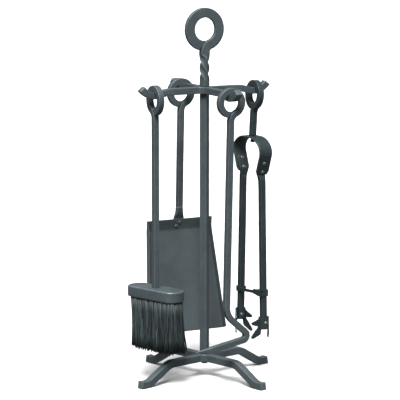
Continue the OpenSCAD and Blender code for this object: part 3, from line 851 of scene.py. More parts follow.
# --------------------------------------------------------------------------
# Repeated pieces, made by Geometry Nodes
# --------------------------------------------------------------------------
class GrownPiece:
    """A geometry-node tree that is run once on a seed mesh and then frozen."""

    def __init__(self, name: str, inputs: Sequence[tuple[str, str, object]]) -> None:
        """Start the tree.

        Args:
            name: the tree's name.
            inputs: name, socket type and default of each input after the geometry.
        """
        self.tree = bpy.data.node_groups.new(name, "GeometryNodeTree")
        self.tree.interface.new_socket("Geometry", in_out="INPUT", socket_type="NodeSocketGeometry")
        for label, kind, default in inputs:
            socket = self.tree.interface.new_socket(label, in_out="INPUT", socket_type=kind)
            if default is not None:
                socket.default_value = default
        self.tree.interface.new_socket("Geometry", in_out="OUTPUT", socket_type="NodeSocketGeometry")
        self.nodes = Nodes(self.tree)
        self.source = self.nodes.add("NodeGroupInput")
        self.sink = self.nodes.add("NodeGroupOutput")

    def close(self, instances: bpy.types.NodeSocket) -> None:
        """End the tree in Realize Instances, smooth shading and Set Material.

        Args:
            instances: the socket that gives the pieces.
        """
        real = self.nodes.add("GeometryNodeRealizeInstances")
        self.nodes.link(instances, real.inputs["Geometry"])
        smooth = self.nodes.add("GeometryNodeSetShadeSmooth")
        self.nodes.link(real.outputs["Geometry"], smooth.inputs["Geometry"])
        dressed = self.nodes.add("GeometryNodeSetMaterial")
        self.nodes.link(smooth.outputs["Geometry"], dressed.inputs["Geometry"])
        self.nodes.link(self.source.outputs["Finish"], dressed.inputs["Material"])
        self.nodes.link(dressed.outputs["Geometry"], self.sink.inputs["Geometry"])

    def grow(self, name: str, seed_mesh: bpy.types.Mesh, values: dict[str, object],
             place: Matrix | None = None) -> bpy.types.Object:
        """Run the tree on a mesh and keep the result as a plain mesh.

        Args:
            name: the piece's name.
            seed_mesh: the mesh the tree starts from.
            values: a value for each named input.
            place: moves the finished mesh to its place, in metres.

        Returns:
            The piece.
        """
        host = bpy.data.objects.new(name + "_seed", seed_mesh)
        bpy.context.collection.objects.link(host)
        modifier = host.modifiers.new("grow", "NODES")
        modifier.node_group = self.tree
        for item in self.tree.interface.items_tree:
            if item.item_type == "SOCKET" and item.in_out == "INPUT" and item.name in values:
                modifier[item.identifier] = values[item.name]
        bpy.context.view_layer.update()
        graph = bpy.context.evaluated_depsgraph_get()
        data = bpy.data.meshes.new_from_object(host.evaluated_get(graph), depsgraph=graph)
        data.name = name
        host.modifiers.remove(modifier)
        bpy.data.objects.remove(host)
        if place is not None:
            data.transform(place)
        piece = bpy.data.objects.new(name, data)
        bpy.context.collection.objects.link(piece)
        LOG.info("%s: %d faces", name, len(data.polygons))
        return piece


class BristleField(GrownPiece):
    """Tapered strands that hang from a flat outline, leaning by their place."""

    def __init__(self) -> None:
        """Build the tree."""
        number = "NodeSocketFloat"
        super().__init__("bristle_field", [
            ("Density", number, 500000.0), ("Length", number, 0.08), ("Length Spread", number, 0.04),
            ("Root Radius", number, 0.0006), ("Tip Radius", number, 0.0004), ("Curl", number, 0.003),
            ("Half Width", number, 0.05), ("Lean Low End", number, 0.0), ("Lean High End", number, -0.1),
            ("Jitter", number, 0.03), ("Seed", "NodeSocketInt", 3), ("Finish", "NodeSocketMaterial", None)])
        nodes, source = self.nodes, self.source.outputs
        points = nodes.add("GeometryNodeDistributePointsOnFaces", distribute_method="RANDOM")
        nodes.link(source["Geometry"], points.inputs["Mesh"])
        nodes.link(source["Density"], points.inputs["Density"])
        nodes.link(source["Seed"], points.inputs["Seed"])

        place = nodes.add("ShaderNodeSeparateXYZ")
        nodes.link(nodes.add("GeometryNodeInputPosition").outputs["Position"], place.inputs["Vector"])
        along = nodes.math("DIVIDE", place.outputs["X"], source["Half Width"])
        lean = nodes.remap(along, -1.0, 1.0, source["Lean Low End"], source["Lean High End"])
        low = nodes.math("MULTIPLY", source["Jitter"], -1.0)
        sway_x = self._random(low, source["Jitter"], 11)
        sway_y = self._random(low, source["Jitter"], 12)
        aim = nodes.add("ShaderNodeCombineXYZ")
        nodes.link(nodes.math("ADD", lean, sway_x), aim.inputs["X"])
        nodes.link(sway_y, aim.inputs["Y"])
        aim.inputs["Z"].default_value = -1.0
        turned = nodes.add("FunctionNodeAlignRotationToVector", axis="Z")
        nodes.link(aim.outputs["Vector"], turned.inputs["Vector"])
        spin = nodes.add("FunctionNodeRotateRotation", rotation_space="LOCAL")
        nodes.link(turned.outputs["Rotation"], spin.inputs["Rotation"])
        roll = nodes.add("ShaderNodeCombineXYZ")
        full_turn = 6.283
        nodes.link(self._random(0.0, full_turn, 13), roll.inputs["Z"])
        nodes.link(roll.outputs["Vector"], spin.inputs["Rotate By"])

        longest = nodes.math("ADD", 1.0, source["Length Spread"])
        shortest = nodes.math("SUBTRACT", 1.0, source["Length Spread"])
        size = nodes.add("ShaderNodeCombineXYZ")
        thin, thick = 0.7, 1.35
        width = self._random(thin, thick, 14)
        nodes.link(width, size.inputs["X"])
        nodes.link(width, size.inputs["Y"])
        nodes.link(self._random(shortest, longest, 15), size.inputs["Z"])

        strand = nodes.add("GeometryNodeMeshCone", fill_type="NGON")
        strand.inputs["Vertices"].default_value = 4
        strand.inputs["Side Segments"].default_value = 4
        nodes.link(source["Tip Radius"], strand.inputs["Radius Top"])
        nodes.link(source["Root Radius"], strand.inputs["Radius Bottom"])
        nodes.link(source["Length"], strand.inputs["Depth"])
        bent = nodes.add("GeometryNodeSetPosition")
        nodes.link(strand.outputs["Mesh"], bent.inputs["Geometry"])
        own = nodes.add("ShaderNodeSeparateXYZ")
        nodes.link(nodes.add("GeometryNodeInputPosition").outputs["Position"], own.inputs["Vector"])
        share = nodes.math("DIVIDE", own.outputs["Z"], source["Length"])
        square = nodes.math("MULTIPLY", share, share)
        offset = nodes.add("ShaderNodeCombineXYZ")
        nodes.link(nodes.math("MULTIPLY", square, source["Curl"]), offset.inputs["X"])
        nodes.link(offset.outputs["Vector"], bent.inputs["Offset"])

        tinted = nodes.add("GeometryNodeStoreNamedAttribute", data_type="FLOAT", domain="POINT")
        nodes.link(points.outputs["Points"], tinted.inputs["Geometry"])
        tinted.inputs["Name"].default_value = STRAND
        nodes.link(self._random(0.0, 1.0, 16), tinted.inputs["Value"])
        planted = nodes.add("GeometryNodeInstanceOnPoints")
        nodes.link(tinted.outputs["Geometry"], planted.inputs["Points"])
        nodes.link(bent.outputs["Geometry"], planted.inputs["Instance"])
        nodes.link(spin.outputs["Rotation"], planted.inputs["Rotation"])
        nodes.link(size.outputs["Vector"], planted.inputs["Scale"])
        self.close(planted.outputs["Instances"])

    def _random(self, low: object, high: object, salt: int) -> bpy.types.NodeSocket:
        """Place a random number between two values.

        Args:
            low: the lowest value or its socket.
            high: the highest value or its socket.
            salt: keeps one random number apart from another.

        Returns:
            The random value.
        """
        node = self.nodes.add("FunctionNodeRandomValue", data_type="FLOAT")
        slots = [socket for socket in node.inputs if socket.enabled and socket.name in ("Min", "Max")]
        self.nodes.feed(slots[0], low)
        self.nodes.feed(slots[1], high)
        mixed = self.nodes.add("FunctionNodeIntegerMath", operation="ADD")
        self.nodes.link(self.source.outputs["Seed"], mixed.inputs[0])
        mixed.inputs[1].default_value = salt
        self.nodes.link(mixed.outputs[0], node.inputs["Seed"])
        return [socket for socket in node.outputs if socket.enabled][0]


class RivetHeads(GrownPiece):
    """Low domed heads, one on each vertex, facing the vertex's own direction."""

    def __init__(self) -> None:
        """Build the tree."""
        number = "NodeSocketFloat"
        super().__init__("rivet_heads", [
            ("Radius", number, 0.0032), ("Height", number, 0.0014), ("Dent", number, 0.00015),
            ("Seed", "NodeSocketInt", 1), ("Finish", "NodeSocketMaterial", None)])
        nodes, source = self.nodes, self.source.outputs
        facing = nodes.add("GeometryNodeInputNamedAttribute", data_type="FLOAT_VECTOR")
        facing.inputs["Name"].default_value = FACING
        way = [socket for socket in facing.outputs if socket.enabled][0]
        turned = nodes.add("FunctionNodeAlignRotationToVector", axis="Z")
        nodes.link(way, turned.inputs["Vector"])
        ball = nodes.add("GeometryNodeMeshUVSphere")
        ball.inputs["Segments"].default_value = 24
        ball.inputs["Rings"].default_value = 14
        ball.inputs["Radius"].default_value = 1.0
        scale = nodes.add("ShaderNodeCombineXYZ")
        nodes.link(source["Radius"], scale.inputs["X"])
        nodes.link(source["Radius"], scale.inputs["Y"])
        nodes.link(source["Height"], scale.inputs["Z"])
        planted = nodes.add("GeometryNodeInstanceOnPoints")
        nodes.link(source["Geometry"], planted.inputs["Points"])
        nodes.link(ball.outputs["Mesh"], planted.inputs["Instance"])
        nodes.link(turned.outputs["Rotation"], planted.inputs["Rotation"])
        nodes.link(scale.outputs["Vector"], planted.inputs["Scale"])
        real = nodes.add("GeometryNodeRealizeInstances")
        nodes.link(planted.outputs["Instances"], real.inputs["Geometry"])
        dents = nodes.add("ShaderNodeTexNoise")
        dents.inputs["Scale"].default_value = 420.0
        push = nodes.math("SUBTRACT", dents.outputs["Fac"], 0.5)
        push = nodes.math("MULTIPLY", push, source["Dent"])
        push = nodes.math("MULTIPLY", push, 2.0)
        along = nodes.add("ShaderNodeVectorMath", operation="SCALE")
        nodes.link(nodes.add("GeometryNodeInputNormal").outputs["Normal"], along.inputs[0])
        nodes.link(push, along.inputs["Scale"])
        dented = nodes.add("GeometryNodeSetPosition")
        nodes.link(real.outputs["Geometry"], dented.inputs["Geometry"])
        nodes.link(along.outputs["Vector"], dented.inputs["Offset"])
        self.close(dented.outputs["Geometry"])

    def place(self, name: str, heads: Sequence[tuple[Vector, Vector]], radius: float, height: float,
              finish: bpy.types.Material, seed: int = 1) -> bpy.types.Object:
        """Make the heads of one body.

        Args:
            name: the piece's name.
            heads: place and facing of each head, in millimetres.
            radius: radius of a head, in millimetres.
            height: height of a head, in millimetres.
            finish: their material.
            seed: value for the tree's Seed input, which no node reads.

        Returns:
            The piece.
        """
        mesh = bpy.data.meshes.new(name + "_points")
        mesh.from_pydata([tuple(at * MM) for at, _ in heads], [], [])
        facing = mesh.attributes.new(FACING, "FLOAT_VECTOR", "POINT")
        for index, (_, way) in enumerate(heads):
            facing.data[index].vector = way.normalized()
        return self.grow(name, mesh, {
            "Radius": radius * MM, "Height": height * MM, "Seed": seed, "Finish": finish})


# --------------------------------------------------------------------------
# Sub-assemblies
# --------------------------------------------------------------------------
@dataclass
class Workshop:
    """What every sub-assembly is made with."""

    palette: Palette
    forge: Forge
    rivets: RivetHeads


@dataclass
class Bars:
    """Sizes that more than one sub-assembly shares."""

    eye_z: float = 464.2  # height of the hanging eyes' centres
    eye_radius: float = 19.25  # to the middle of the bar
    crook: float = 14.0
    tool_half: float = 4.75  # half the width of the tools' square bars
    seat_r: float = 90.0  # from the post to the hooks' seats
    shovel_seat_r: float = 84.0


def settle(piece: bpy.types.Object, node: str, body: str) -> None:
    """Let a piece stand for its CAD node and ride on a body.

    Args:
        piece: the finished piece.
        node: the CAD node that it stands for.
        body: the body that carries it.
    """
    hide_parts(node)
    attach(piece, body)


def along(points: Sequence[tuple[float, float, float, float]], plane: Matrix, spacing: float = 3.0,
          corner: float = BAR_CORNER) -> list[Station]:
    """Stations along a smooth line through points of one plane.

    Args:
        points: (u, v, half size in the plane, half size across it) of each point.
        plane: its columns are the plane's u, v and across directions and its origin.
        spacing: distance between stations.
        corner: radius of the bar's corners.

    Returns:
        The stations.
    """
    samples: list[Vector] = []
    last = len(points) - 1
    for index in range(last):
        p0 = Vector(points[max(index - 1, 0)])
        p1, p2 = Vector(points[index]), Vector(points[index + 1])
        p3 = Vector(points[min(index + 2, last)])
        count = max(1, math.ceil((p2.xy - p1.xy).length / spacing))
        for step in range(count):
            t = step / count
            samples.append(0.5 * ((2.0 * p1) + (p2 - p0) * t + (2.0 * p0 - 5.0 * p1 + 4.0 * p2 - p3) * t * t
                                  + (3.0 * p1 - p0 - 3.0 * p2 + p3) * t ** 3))
    samples.append(Vector(points[last]))
    out = []
    turn = plane.to_3x3()
    for index, sample in enumerate(samples):
        before = samples[max(index - 1, 0)]
        after = samples[min(index + 1, len(samples) - 1)]
        way = (after.xy - before.xy).normalized()
        out.append(Station(plane @ Vector((sample[0], sample[1], 0.0)), turn @ Vector((-way.y, way.x, 0.0)),
                           turn @ Vector((0.0, 0.0, 1.0)), sample[2], sample[3], corner))
    return out


def plane_at(origin: Vector, u_dir: Vector, v_dir: Vector) -> Matrix:
    """Make a plane's frame.

    Args:
        origin: the plane's origin.
        u_dir: its first direction.
        v_dir: its second direction.

    Returns:
        A matrix whose columns are the u, v and across directions and the origin.
    """
    frame = Matrix((u_dir, v_dir, u_dir.cross(v_dir))).transposed().to_4x4()
    frame.translation = origin
    return frame


@dataclass
class Stand:
    """Post, legs, hook arms and the twisted ring handle."""

    shop: Workshop
    bars: Bars
    ring_z: float = 575.5
    ring_radius: float = 26.75
    ring_half: tuple[float, float] = (7.75, 3.5)
    ring_crook: float = 14.0
    stem_half: float = 6.0
    stem_foot_z: float = 482.0
    foot_h: float = 11.0
    twist_h: float = 42.0
    twist_turn: float = 200.0
    neck_h: float = 7.0
    neck_half: tuple[float, float] = (7.7, 5.0)
    post_half: float = 6.0
    post_turn: float = 37.0
    post_low: float = 38.0
    post_high: float = 471.0
    hook_half: float = 5.5
    hook_mid: float = 476.5
    hook_corner: float = 7.5
    dip_slope: float = 20.0
    tip_slope: float = 52.0
    curl_r: float = 32.0
    dip: float = 5.0
    leg_half: float = 6.0
    leg_mid: float = 32.0
    leg_corner: float = 7.0
    leg_turn: float = 14.6
    leg_slope: float = 30.0
    toe_slope: float = 10.0
    leg_bend_r: float = 30.0
    foot_r: float = 132.0
    foot_flat: float = 0.3
    toe: float = 4.0
    first_step: float = 0.02  # puts the stem's first section in, already turned
    corner_run: float = 2.0  # from the bend round the post to the first section

    def build(self) -> None:
        """Make and place every piece of the stand."""
        self._handle()
        self._post()
        self._hooks()
        self._legs()
        self.shop.palette.dress(bpy.data.objects["handle_stud"], Surface.ZINC)
        for node in ("base_bolt", "base_washer"):
            self.shop.palette.dress(bpy.data.objects[node], Surface.IRON)

    def _handle(self) -> None:
        """Make the twisted stem with its ring, from its foot up."""
        neck_turn = self.twist_turn * self.neck_h / self.twist_h
        stem = BarPath(Vector((0.0, 0.0, self.stem_foot_z)), Vector((1.0, 0.0, 0.0)), UP,
                       self.stem_half, self.stem_half, spacing=1.5, heading=math.pi / 2.0)
        stem.run(self.first_step, roll_from=self.twist_turn, roll_to=self.twist_turn)
        stem.run(self.foot_h, roll_from=self.twist_turn, roll_to=self.twist_turn)
        stem.run(self.twist_h - self.neck_h, roll_from=self.twist_turn, roll_to=neck_turn)
        stem.run(self.neck_h, *self.neck_half, roll_from=neck_turn)
        stem.eye(self.ring_z - self.stem_foot_z, self.ring_radius, self.ring_crook, 1.0,
                 half_in=self.ring_half[0], half_across=self.ring_half[1])
        ring = self.shop.forge.bar("ring_handle_bar", stem.stations, Surface.IRON, seed=1.0)
        settle(ring, "ring_handle", "stand")

    def _post(self) -> None:
        """Make the square post."""
        turn = math.radians(self.post_turn)
        path = BarPath(Vector((0.0, 0.0, self.post_low)), Vector((math.cos(turn), math.sin(turn), 0.0)), UP,
                       self.post_half, self.post_half, spacing=4.0, heading=math.pi / 2.0)
        path.mark()
        path.run(self.post_high - self.post_low)
        post = self.shop.forge.bar("post_bar", path.stations, Surface.IRON, dent=0.1, seed=2.0)
        settle(post, "post", "stand")

    def _hooks(self) -> None:
        """Make the two bars that carry the hooks; the rear one has the shovel's shorter arm."""
        arm, shovel_arm = self._hook_steps(self.bars.seat_r), self._hook_steps(self.bars.shovel_seat_r)
        for node, turn, arms, seed in (("hook_bar_front", 180.0, [arm, arm], 3.0),
                                       ("hook_bar_rear", 0.0, [arm, shovel_arm], 4.0)):
            piece = self._corner_bar(node + "_forged", turn, self.hook_mid, self.hook_half, self.hook_corner,
                                     arms, seed)
            settle(piece, node, "stand")

    def _legs(self) -> None:
        """Make the two bars that end in the feet."""
        arms = [self._leg_steps()] * 2
        for node, turn, seed in (("leg_bar_front", 180.0 + self.leg_turn, 5.0),
                                 ("leg_bar_rear", self.leg_turn, 6.0)):
            piece = self._corner_bar(node + "_forged", turn, self.leg_mid, self.leg_half, self.leg_corner,
                                     arms, seed)
            settle(piece, node, "stand")

    def _hook_steps(self, seat_r: float) -> list[tuple[float, float, float]]:
        """Steps of a hook arm.

        Args:
            seat_r: radius from the post's axis to the seat.

        Returns:
            Length, bend and bend radius of each step, from the post out.
        """
        dip_r = self.dip / (1.0 - math.cos(math.radians(self.dip_slope))) - self.curl_r
        straight = seat_r - (dip_r + self.curl_r) * math.sin(math.radians(self.dip_slope))
        return [(straight, -self.dip_slope, dip_r), (0.0, self.dip_slope + self.tip_slope, self.curl_r)]

    def _leg_steps(self) -> list[tuple[float, float, float]]:
        """Steps of a leg, from the post out to its toe.

        Returns:
            Length, bend and bend radius of each step.
        """
        slope = math.radians(self.leg_slope)
        drop = self.leg_mid - self.leg_half + self.foot_flat
        slope_l = (drop - 2.0 * self.leg_bend_r * (1.0 - math.cos(slope))) / math.sin(slope)
        straight = self.foot_r - 2.0 * self.leg_bend_r * math.sin(slope) - slope_l * math.cos(slope)
        return [(straight, -self.leg_slope, self.leg_bend_r),
                (slope_l, self.leg_slope + self.toe_slope, self.leg_bend_r), (self.toe, 0.0, 0.0)]

    def _corner_bar(self, name: str, turn: float, mid_z: float, half: float, corner: float,
                    arms: Sequence[Sequence[tuple[float, float, float]]], seed: float) -> bpy.types.Object:
        """Make a bar bent square round the post, with an arm on each side.

        Args:
            name: the piece's name.
            turn: azimuth of the first arm, in degrees; the second is 90 more.
            mid_z: height of the bar's middle at the post.
            half: half the bar's width.
            corner: cut across the inside of the bend.
            arms: steps of the two arms.
            seed: moves the hammer marks.

        Returns:
            The piece.
        """
        angle = math.radians(turn)
        first = Vector((math.cos(angle), math.sin(angle), 0.0))
        second = Vector((-math.sin(angle), math.cos(angle), 0.0))
        middle = UP * mid_z
        halves = []
        for way, flip, steps in ((first, -1.0, arms[0]), (second, 1.0, arms[1])):
            start = half + corner
            path = BarPath(middle, way, UP, half, half, spacing=3.5, u=start + self.corner_run)
            path.mark()
            for index, (length, bend, radius) in enumerate(steps):
                if length > 0.0:
                    path.run(length - start - self.corner_run if index == 0 else length)
                if bend:
                    path.bend(bend, radius)
            halves.append([Station(s.at, s.inward, s.across * flip, s.half_in, s.half_across, s.corner)
                           for s in path.stations])
        stations = list(reversed(halves[0]))
        for way, other in ((first, second), (second, first)):
            outer = way * half - other * half
            inner = way * (half + corner) + other * half
            stations.append(Station(
                middle + (outer + inner) / 2.0, UP, (inner - outer) / (2.0 * half), half, half))
        stations += halves[1]
        piece = self.shop.forge.bar(name, stations, Surface.IRON, seed=seed)
        self._ground(piece)
        return piece

    @staticmethod
    def _ground(piece: bpy.types.Object) -> None:
        """Flatten what would reach below the floor, as under the feet."""
        for vert in piece.data.vertices:
            vert.co.z = max(vert.co.z, 0.0)


@dataclass
class Brush:
    """Hearth brush: eye and shaft, oval head and hanging bristles."""

    shop: Workshop
    bars: Bars
    head_low: float = 139.0
    head_high: float = 157.0
    head_half_l: float = 56.0
    head_half_w: float = 19.0
    end_r: float = 22.0
    bow: float = 0.9
    turn: float = 18.0
    bristle_l: float = 82.0
    inset: float = 2.4
    end_gap: float = 4.0
    strands: float = 3400.0
    shaft_sunk: float = 1.0
    head_round: float = 2.2
    core_short: float = 9.0  # how much shorter the dense inside of the bristles is
    core_sunk: float = 0.4
    core_round: float = 1.5
    core_inset: float = 7.0
    core_taper: float = 6.0
    root_sunk: float = 0.5

    def build(self) -> None:
        """Make and place the brush's pieces."""
        path = BarPath(Vector((-self.bars.seat_r, 0.0, 0.0)), Vector((0.0, -1.0, 0.0)), UP,
                       self.bars.tool_half, self.bars.tool_half, v=self.head_high - self.shaft_sunk,
                       heading=math.pi / 2.0)
        path.mark()
        path.eye(self.bars.eye_z, self.bars.eye_radius, self.bars.crook, -1.0)
        shaft = self.shop.forge.bar("brush_shaft_bar", path.stations, Surface.IRON, seed=7.0)
        settle(shaft, "brush_shaft", "brush")

        turn = Matrix.Rotation(math.radians(self.turn), 4, "Z")
        place = Matrix.Translation((-self.bars.seat_r, 0.0, 0.0)) @ turn
        head = self.shop.forge.slab("brush_head_block", self.plan, self.head_low, self.head_high,
                                    self.head_round, Surface.IRON, place)
        settle(head, "brush_head", "brush")

        core_low = self.head_low - self.bristle_l + self.core_short
        core = self.shop.forge.slab("bristle_core", self._core_plan, core_low, self.head_low + self.core_sunk,
                                    self.core_round, Surface.HAIR, place)
        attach(core, "brush")
        settle(self._bristles(), "brush_bristles", "brush")

    def plan(self, inset: float, taper: float = 0.0) -> list[tuple[float, float]]:
        """Outline of the head, long along Y.

        Args:
            inset: how far inside the head's edge.
            taper: how much shorter the far end is.

        Returns:
            The outline's points, in order.
        """
        half_w, end_r = self.head_half_w - inset, self.end_r - inset
        end_y = self.head_half_l - inset - end_r
        reach = math.acos(min(1.0, half_w / end_r))
        side_y = end_y + end_r * math.sin(reach)
        count = 28
        points = []
        for side in (1.0, -1.0):
            for step in range(count):
                y = side_y * (2.0 * step / count - 1.0)
                bulge = self.bow * (1.0 - (y / side_y) ** 2)
                points.append((side * (half_w + bulge), side * y))
            for step in range(count):
                angle = reach + (math.pi - 2.0 * reach) * step / count
                points.append((side * end_r * math.cos(angle), side * (end_y + end_r * math.sin(angle))))
        return [(x, y - taper if y > side_y * 0.5 else y) for x, y in points]

    def _core_plan(self, inset: float) -> list[tuple[float, float]]:
        """Outline of the dense inside of the bristles."""
        return self.plan(inset + self.core_inset, self.core_taper)

    def _bristles(self) -> bpy.types.Object:
        """Grow the strands on the head's underside.

        Returns:
            The piece.
        """
        outline = self.plan(self.inset, self.end_gap)
        area = sum(a[0] * b[1] - b[0] * a[1] for a, b in zip(outline, outline[1:] + outline[:1])) / 2.0
        mesh = bpy.data.meshes.new("bristle_roots")
        mesh.from_pydata([(y * MM, -x * MM, 0.0) for x, y in outline], [], [tuple(range(len(outline)))])
        swing = Matrix.Rotation(math.pi / 2.0, 4, "Z")
        turn = Matrix.Rotation(math.radians(self.turn), 4, "Z")
        lift = Matrix.Translation((-self.bars.seat_r * MM, 0.0, (self.head_low + self.root_sunk) * MM))
        piece = BristleField().grow("bristle_strands", mesh, {
            "Density": self.strands / (abs(area) * MM * MM), "Length": self.bristle_l * MM,
            "Length Spread": 0.045,
            "Root Radius": 0.0008, "Tip Radius": 0.0006, "Curl": 0.006, "Half Width": self.head_half_l * MM,
            "Lean Low End": 0.0, "Lean High End": -0.15, "Jitter": 0.024, "Seed": 5,
            "Finish": self.shop.palette.of(Surface.HAIR)}, lift @ turn @ swing)
        return piece


@dataclass
class Shovel:
    """Hearth shovel: eye and shaft with a fishtail riveted to a folded pan."""

    shop: Workshop
    bars: Bars
    top: tuple[float, float] = (91.5, 251.0)
    fold: tuple[float, float] = (97.5, 232.0)
    mouth: tuple[float, float] = (68.5, 62.0)
    top_half: float = 61.5
    fold_half: float = 59.5
    mouth_half: float = 72.5
    flange: float = 12.0
    sheet: float = 1.6
    mouth_cut: float = 2.0
    fold_r: float = 3.0
    tail_t: float = 3.0
    tail_half: float = 10.0
    rivet_up: tuple[float, float] = (13.5, 6.5)
    rivet_x: tuple[float, float] = (1.5, -3.5)
    head_r: float = 3.4
    head_h: float = 1.4

    def build(self) -> None:
        """Make and place the shovel's pieces."""
        settle(self._shaft(), "shovel_shaft", "shovel")
        settle(self._pan(), "shovel_pan", "shovel")
        up = (Vector(self.top) - Vector(self.fold)).normalized()
        out = Vector((up.y, -up.x))
        heads = []
        for height, x in zip(self.rivet_up, self.rivet_x):
            spot = Vector(self.fold) + up * height
            for side, depth in ((-1.0, -self.sheet), (1.0, self.tail_t)):
                at = spot + out * depth
                heads.append((Vector((x, at.x, at.y)), Vector((0.0, out.x, out.y)) * side))
        finish = self.shop.palette.of(Surface.RIVET_PAINTED_HIGHLIGHT)
        rivets = self.shop.rivets.place("shovel_rivet_heads", heads, self.head_r, self.head_h, finish)
        settle(rivets, "shovel_rivets", "shovel")

    def _shaft(self) -> bpy.types.Object:
        """Make the shaft, from its fishtail up to its eye.

        Returns:
            The piece.
        """
        half = self.bars.tool_half
        up = (Vector(self.top) - Vector(self.fold)).normalized()
        out = Vector((up.y, -up.x)) * (self.tail_t / 2.0)
        low = Vector(self.fold) + up * 3.0 + out
        high = Vector(self.top) + up * 1.0 + out
        radius, crook = self.bars.eye_radius, self.bars.crook
        crook_z = self.bars.eye_z - math.sqrt(radius ** 2 + 2.0 * radius * crook)
        seat = self.bars.shovel_seat_r
        points = [(low.x, low.y, self.tail_t / 2.0, self.tail_half * 0.9),
                  ((low.x + high.x) / 2.0, (low.y + high.y) / 2.0, self.tail_t / 2.0, self.tail_half),
                  (high.x, high.y, 1.7, self.tail_half * 0.93), (90.6, 261.0, 3.4, 6.3),
                  (90.0, 270.0, half, half + 0.1),
                  (89.7, 280.0, half, half), (87.0, 360.0, half, half), (seat + 0.2, crook_z - 6.0, half, half)]
        plane = plane_at(Vector((0.0, 0.0, 0.0)), Vector((0.0, 1.0, 0.0)), UP)
        stations = [Station(s.at, Vector((-1.0, 0.0, 0.0)), s.inward, s.half_across, s.half_in, s.corner)
                    for s in along(points, plane)]
        path = BarPath(Vector((0.0, seat, 0.0)), Vector((1.0, 0.0, 0.0)), UP, half, half,
                       v=crook_z - 3.0, heading=math.pi / 2.0)
        path.eye(self.bars.eye_z, self.bars.eye_radius, self.bars.crook, 1.0)
        return self.shop.forge.bar("shovel_shaft_bar", stations + path.stations, Surface.IRON, seed=8.0)

    def _pan(self) -> bpy.types.Object:
        """Make the folded pan as one bent sheet with a wall thickness.

        Returns:
            The piece.
        """
        fold, mouth, top = Vector(self.fold), Vector(self.mouth), Vector(self.top)
        floor_up = (fold - mouth).normalized()
        inward = Vector((-floor_up.y, floor_up.x))
        wall_up = (top - fold).normalized()
        wall_in = Vector((-wall_up.y, wall_up.x))
        half_t = self.sheet / 2.0
        rows: list[tuple[Vector, float]] = []
        length = (fold - mouth).length
        for step in range(40):
            share = step / 40.0
            spot = mouth + floor_up * (length - self.fold_r) * share + inward * half_t
            rows.append((spot, self.mouth_half + (self.fold_half - self.mouth_half) * share))
        low = fold - floor_up * self.fold_r + inward * half_t
        high = fold + wall_up * self.fold_r + wall_in * half_t
        knee = fold + (inward + wall_in) * half_t * 0.5
        for step in range(7):
            t = step / 6.0
            spot = low * (1 - t) ** 2 + knee * 2 * t * (1 - t) + high * t * t
            rows.append((spot, self.fold_half))
        wall = (top - fold).length - self.fold_r
        for step in range(1, 7):
            share = step / 6.0
            rows.append((high + wall_up * wall * share, self.fold_half + (self.top_half - self.fold_half) * share))

        mesh = bmesh.new()
        grid = []
        for index, (spot, half_w) in enumerate(rows):
            depth = self.flange - half_t - (spot - mouth - inward * half_t).dot(inward)
            skew = floor_up * self.mouth_cut * max(0.0, 1.0 - index / 6.0)
            grid.append([mesh.verts.new(Vector((x, point.x, point.y)) * MM)
                         for x, point in self._section(spot, inward, half_w - half_t, depth, skew)])
        for first, second in zip(grid, grid[1:]):
            for i in range(len(first) - 1):
                mesh.faces.new((first[i], first[i + 1], second[i + 1], second[i]))
        piece = self.shop.forge.finish("shovel_pan_sheet", mesh, Surface.SHEET_PAINTED_LIGHT)
        solid = piece.modifiers.new("wall", "SOLIDIFY")
        solid.thickness = self.sheet * MM
        solid.offset = 0.0
        solid.use_even_offset = True
        bevel = piece.modifiers.new("rim", "BEVEL")
        bevel.width = 0.35 * MM
        bevel.segments = 2
        bevel.limit_method = "ANGLE"
        bevel.angle_limit = math.radians(60.0)
        return self._freeze(piece)

    @staticmethod
    def _freeze(piece: bpy.types.Object) -> bpy.types.Object:
        """Turn a piece's modifiers into plain mesh.

        Args:
            piece: the piece.

        Returns:
            The same piece, with its mesh finished.
        """
        graph = bpy.context.evaluated_depsgraph_get()
        data = bpy.data.meshes.new_from_object(piece.evaluated_get(graph), depsgraph=graph)
        piece.modifiers.clear()
        piece.data = data
        return piece

    def _section(self, spot: Vector, inward: Vector, half_w: float, depth: float,
                 skew: Vector) -> list[tuple[float, Vector]]:
        """Points across the sheet at one height, from one lip to the other.

        Args:
            spot: the floor's point in the middle, as (y, z).
            inward: direction of the lips.
            half_w: half the width between the lips' middles.
            depth: depth of the lips here.
            skew: how far the lips' edges are carried up.

        Returns:
            Each point's x and its (y, z).
        """
        radius = min(2.4, depth * 0.7)
        side: list[tuple[float, float]] = []
        for step in range(4):
            side.append((half_w, depth + (radius - depth) * step / 4.0))
        for step in range(7):
            angle = math.pi / 2.0 * step / 6.0
            side.append((half_w - radius + radius * math.cos(angle), radius - radius * math.sin(angle)))
        flat = half_w - radius
        floor = [(flat * (1.0 - 2.0 * step / 18.0), 0.0) for step in range(1, 18)]
        outline = [(-x, d) for x, d in side] + [(-x, d) for x, d in floor] + list(reversed(side))
        return [(x, spot + inward * d + skew * (d / self.flange)) for x, d in outline]


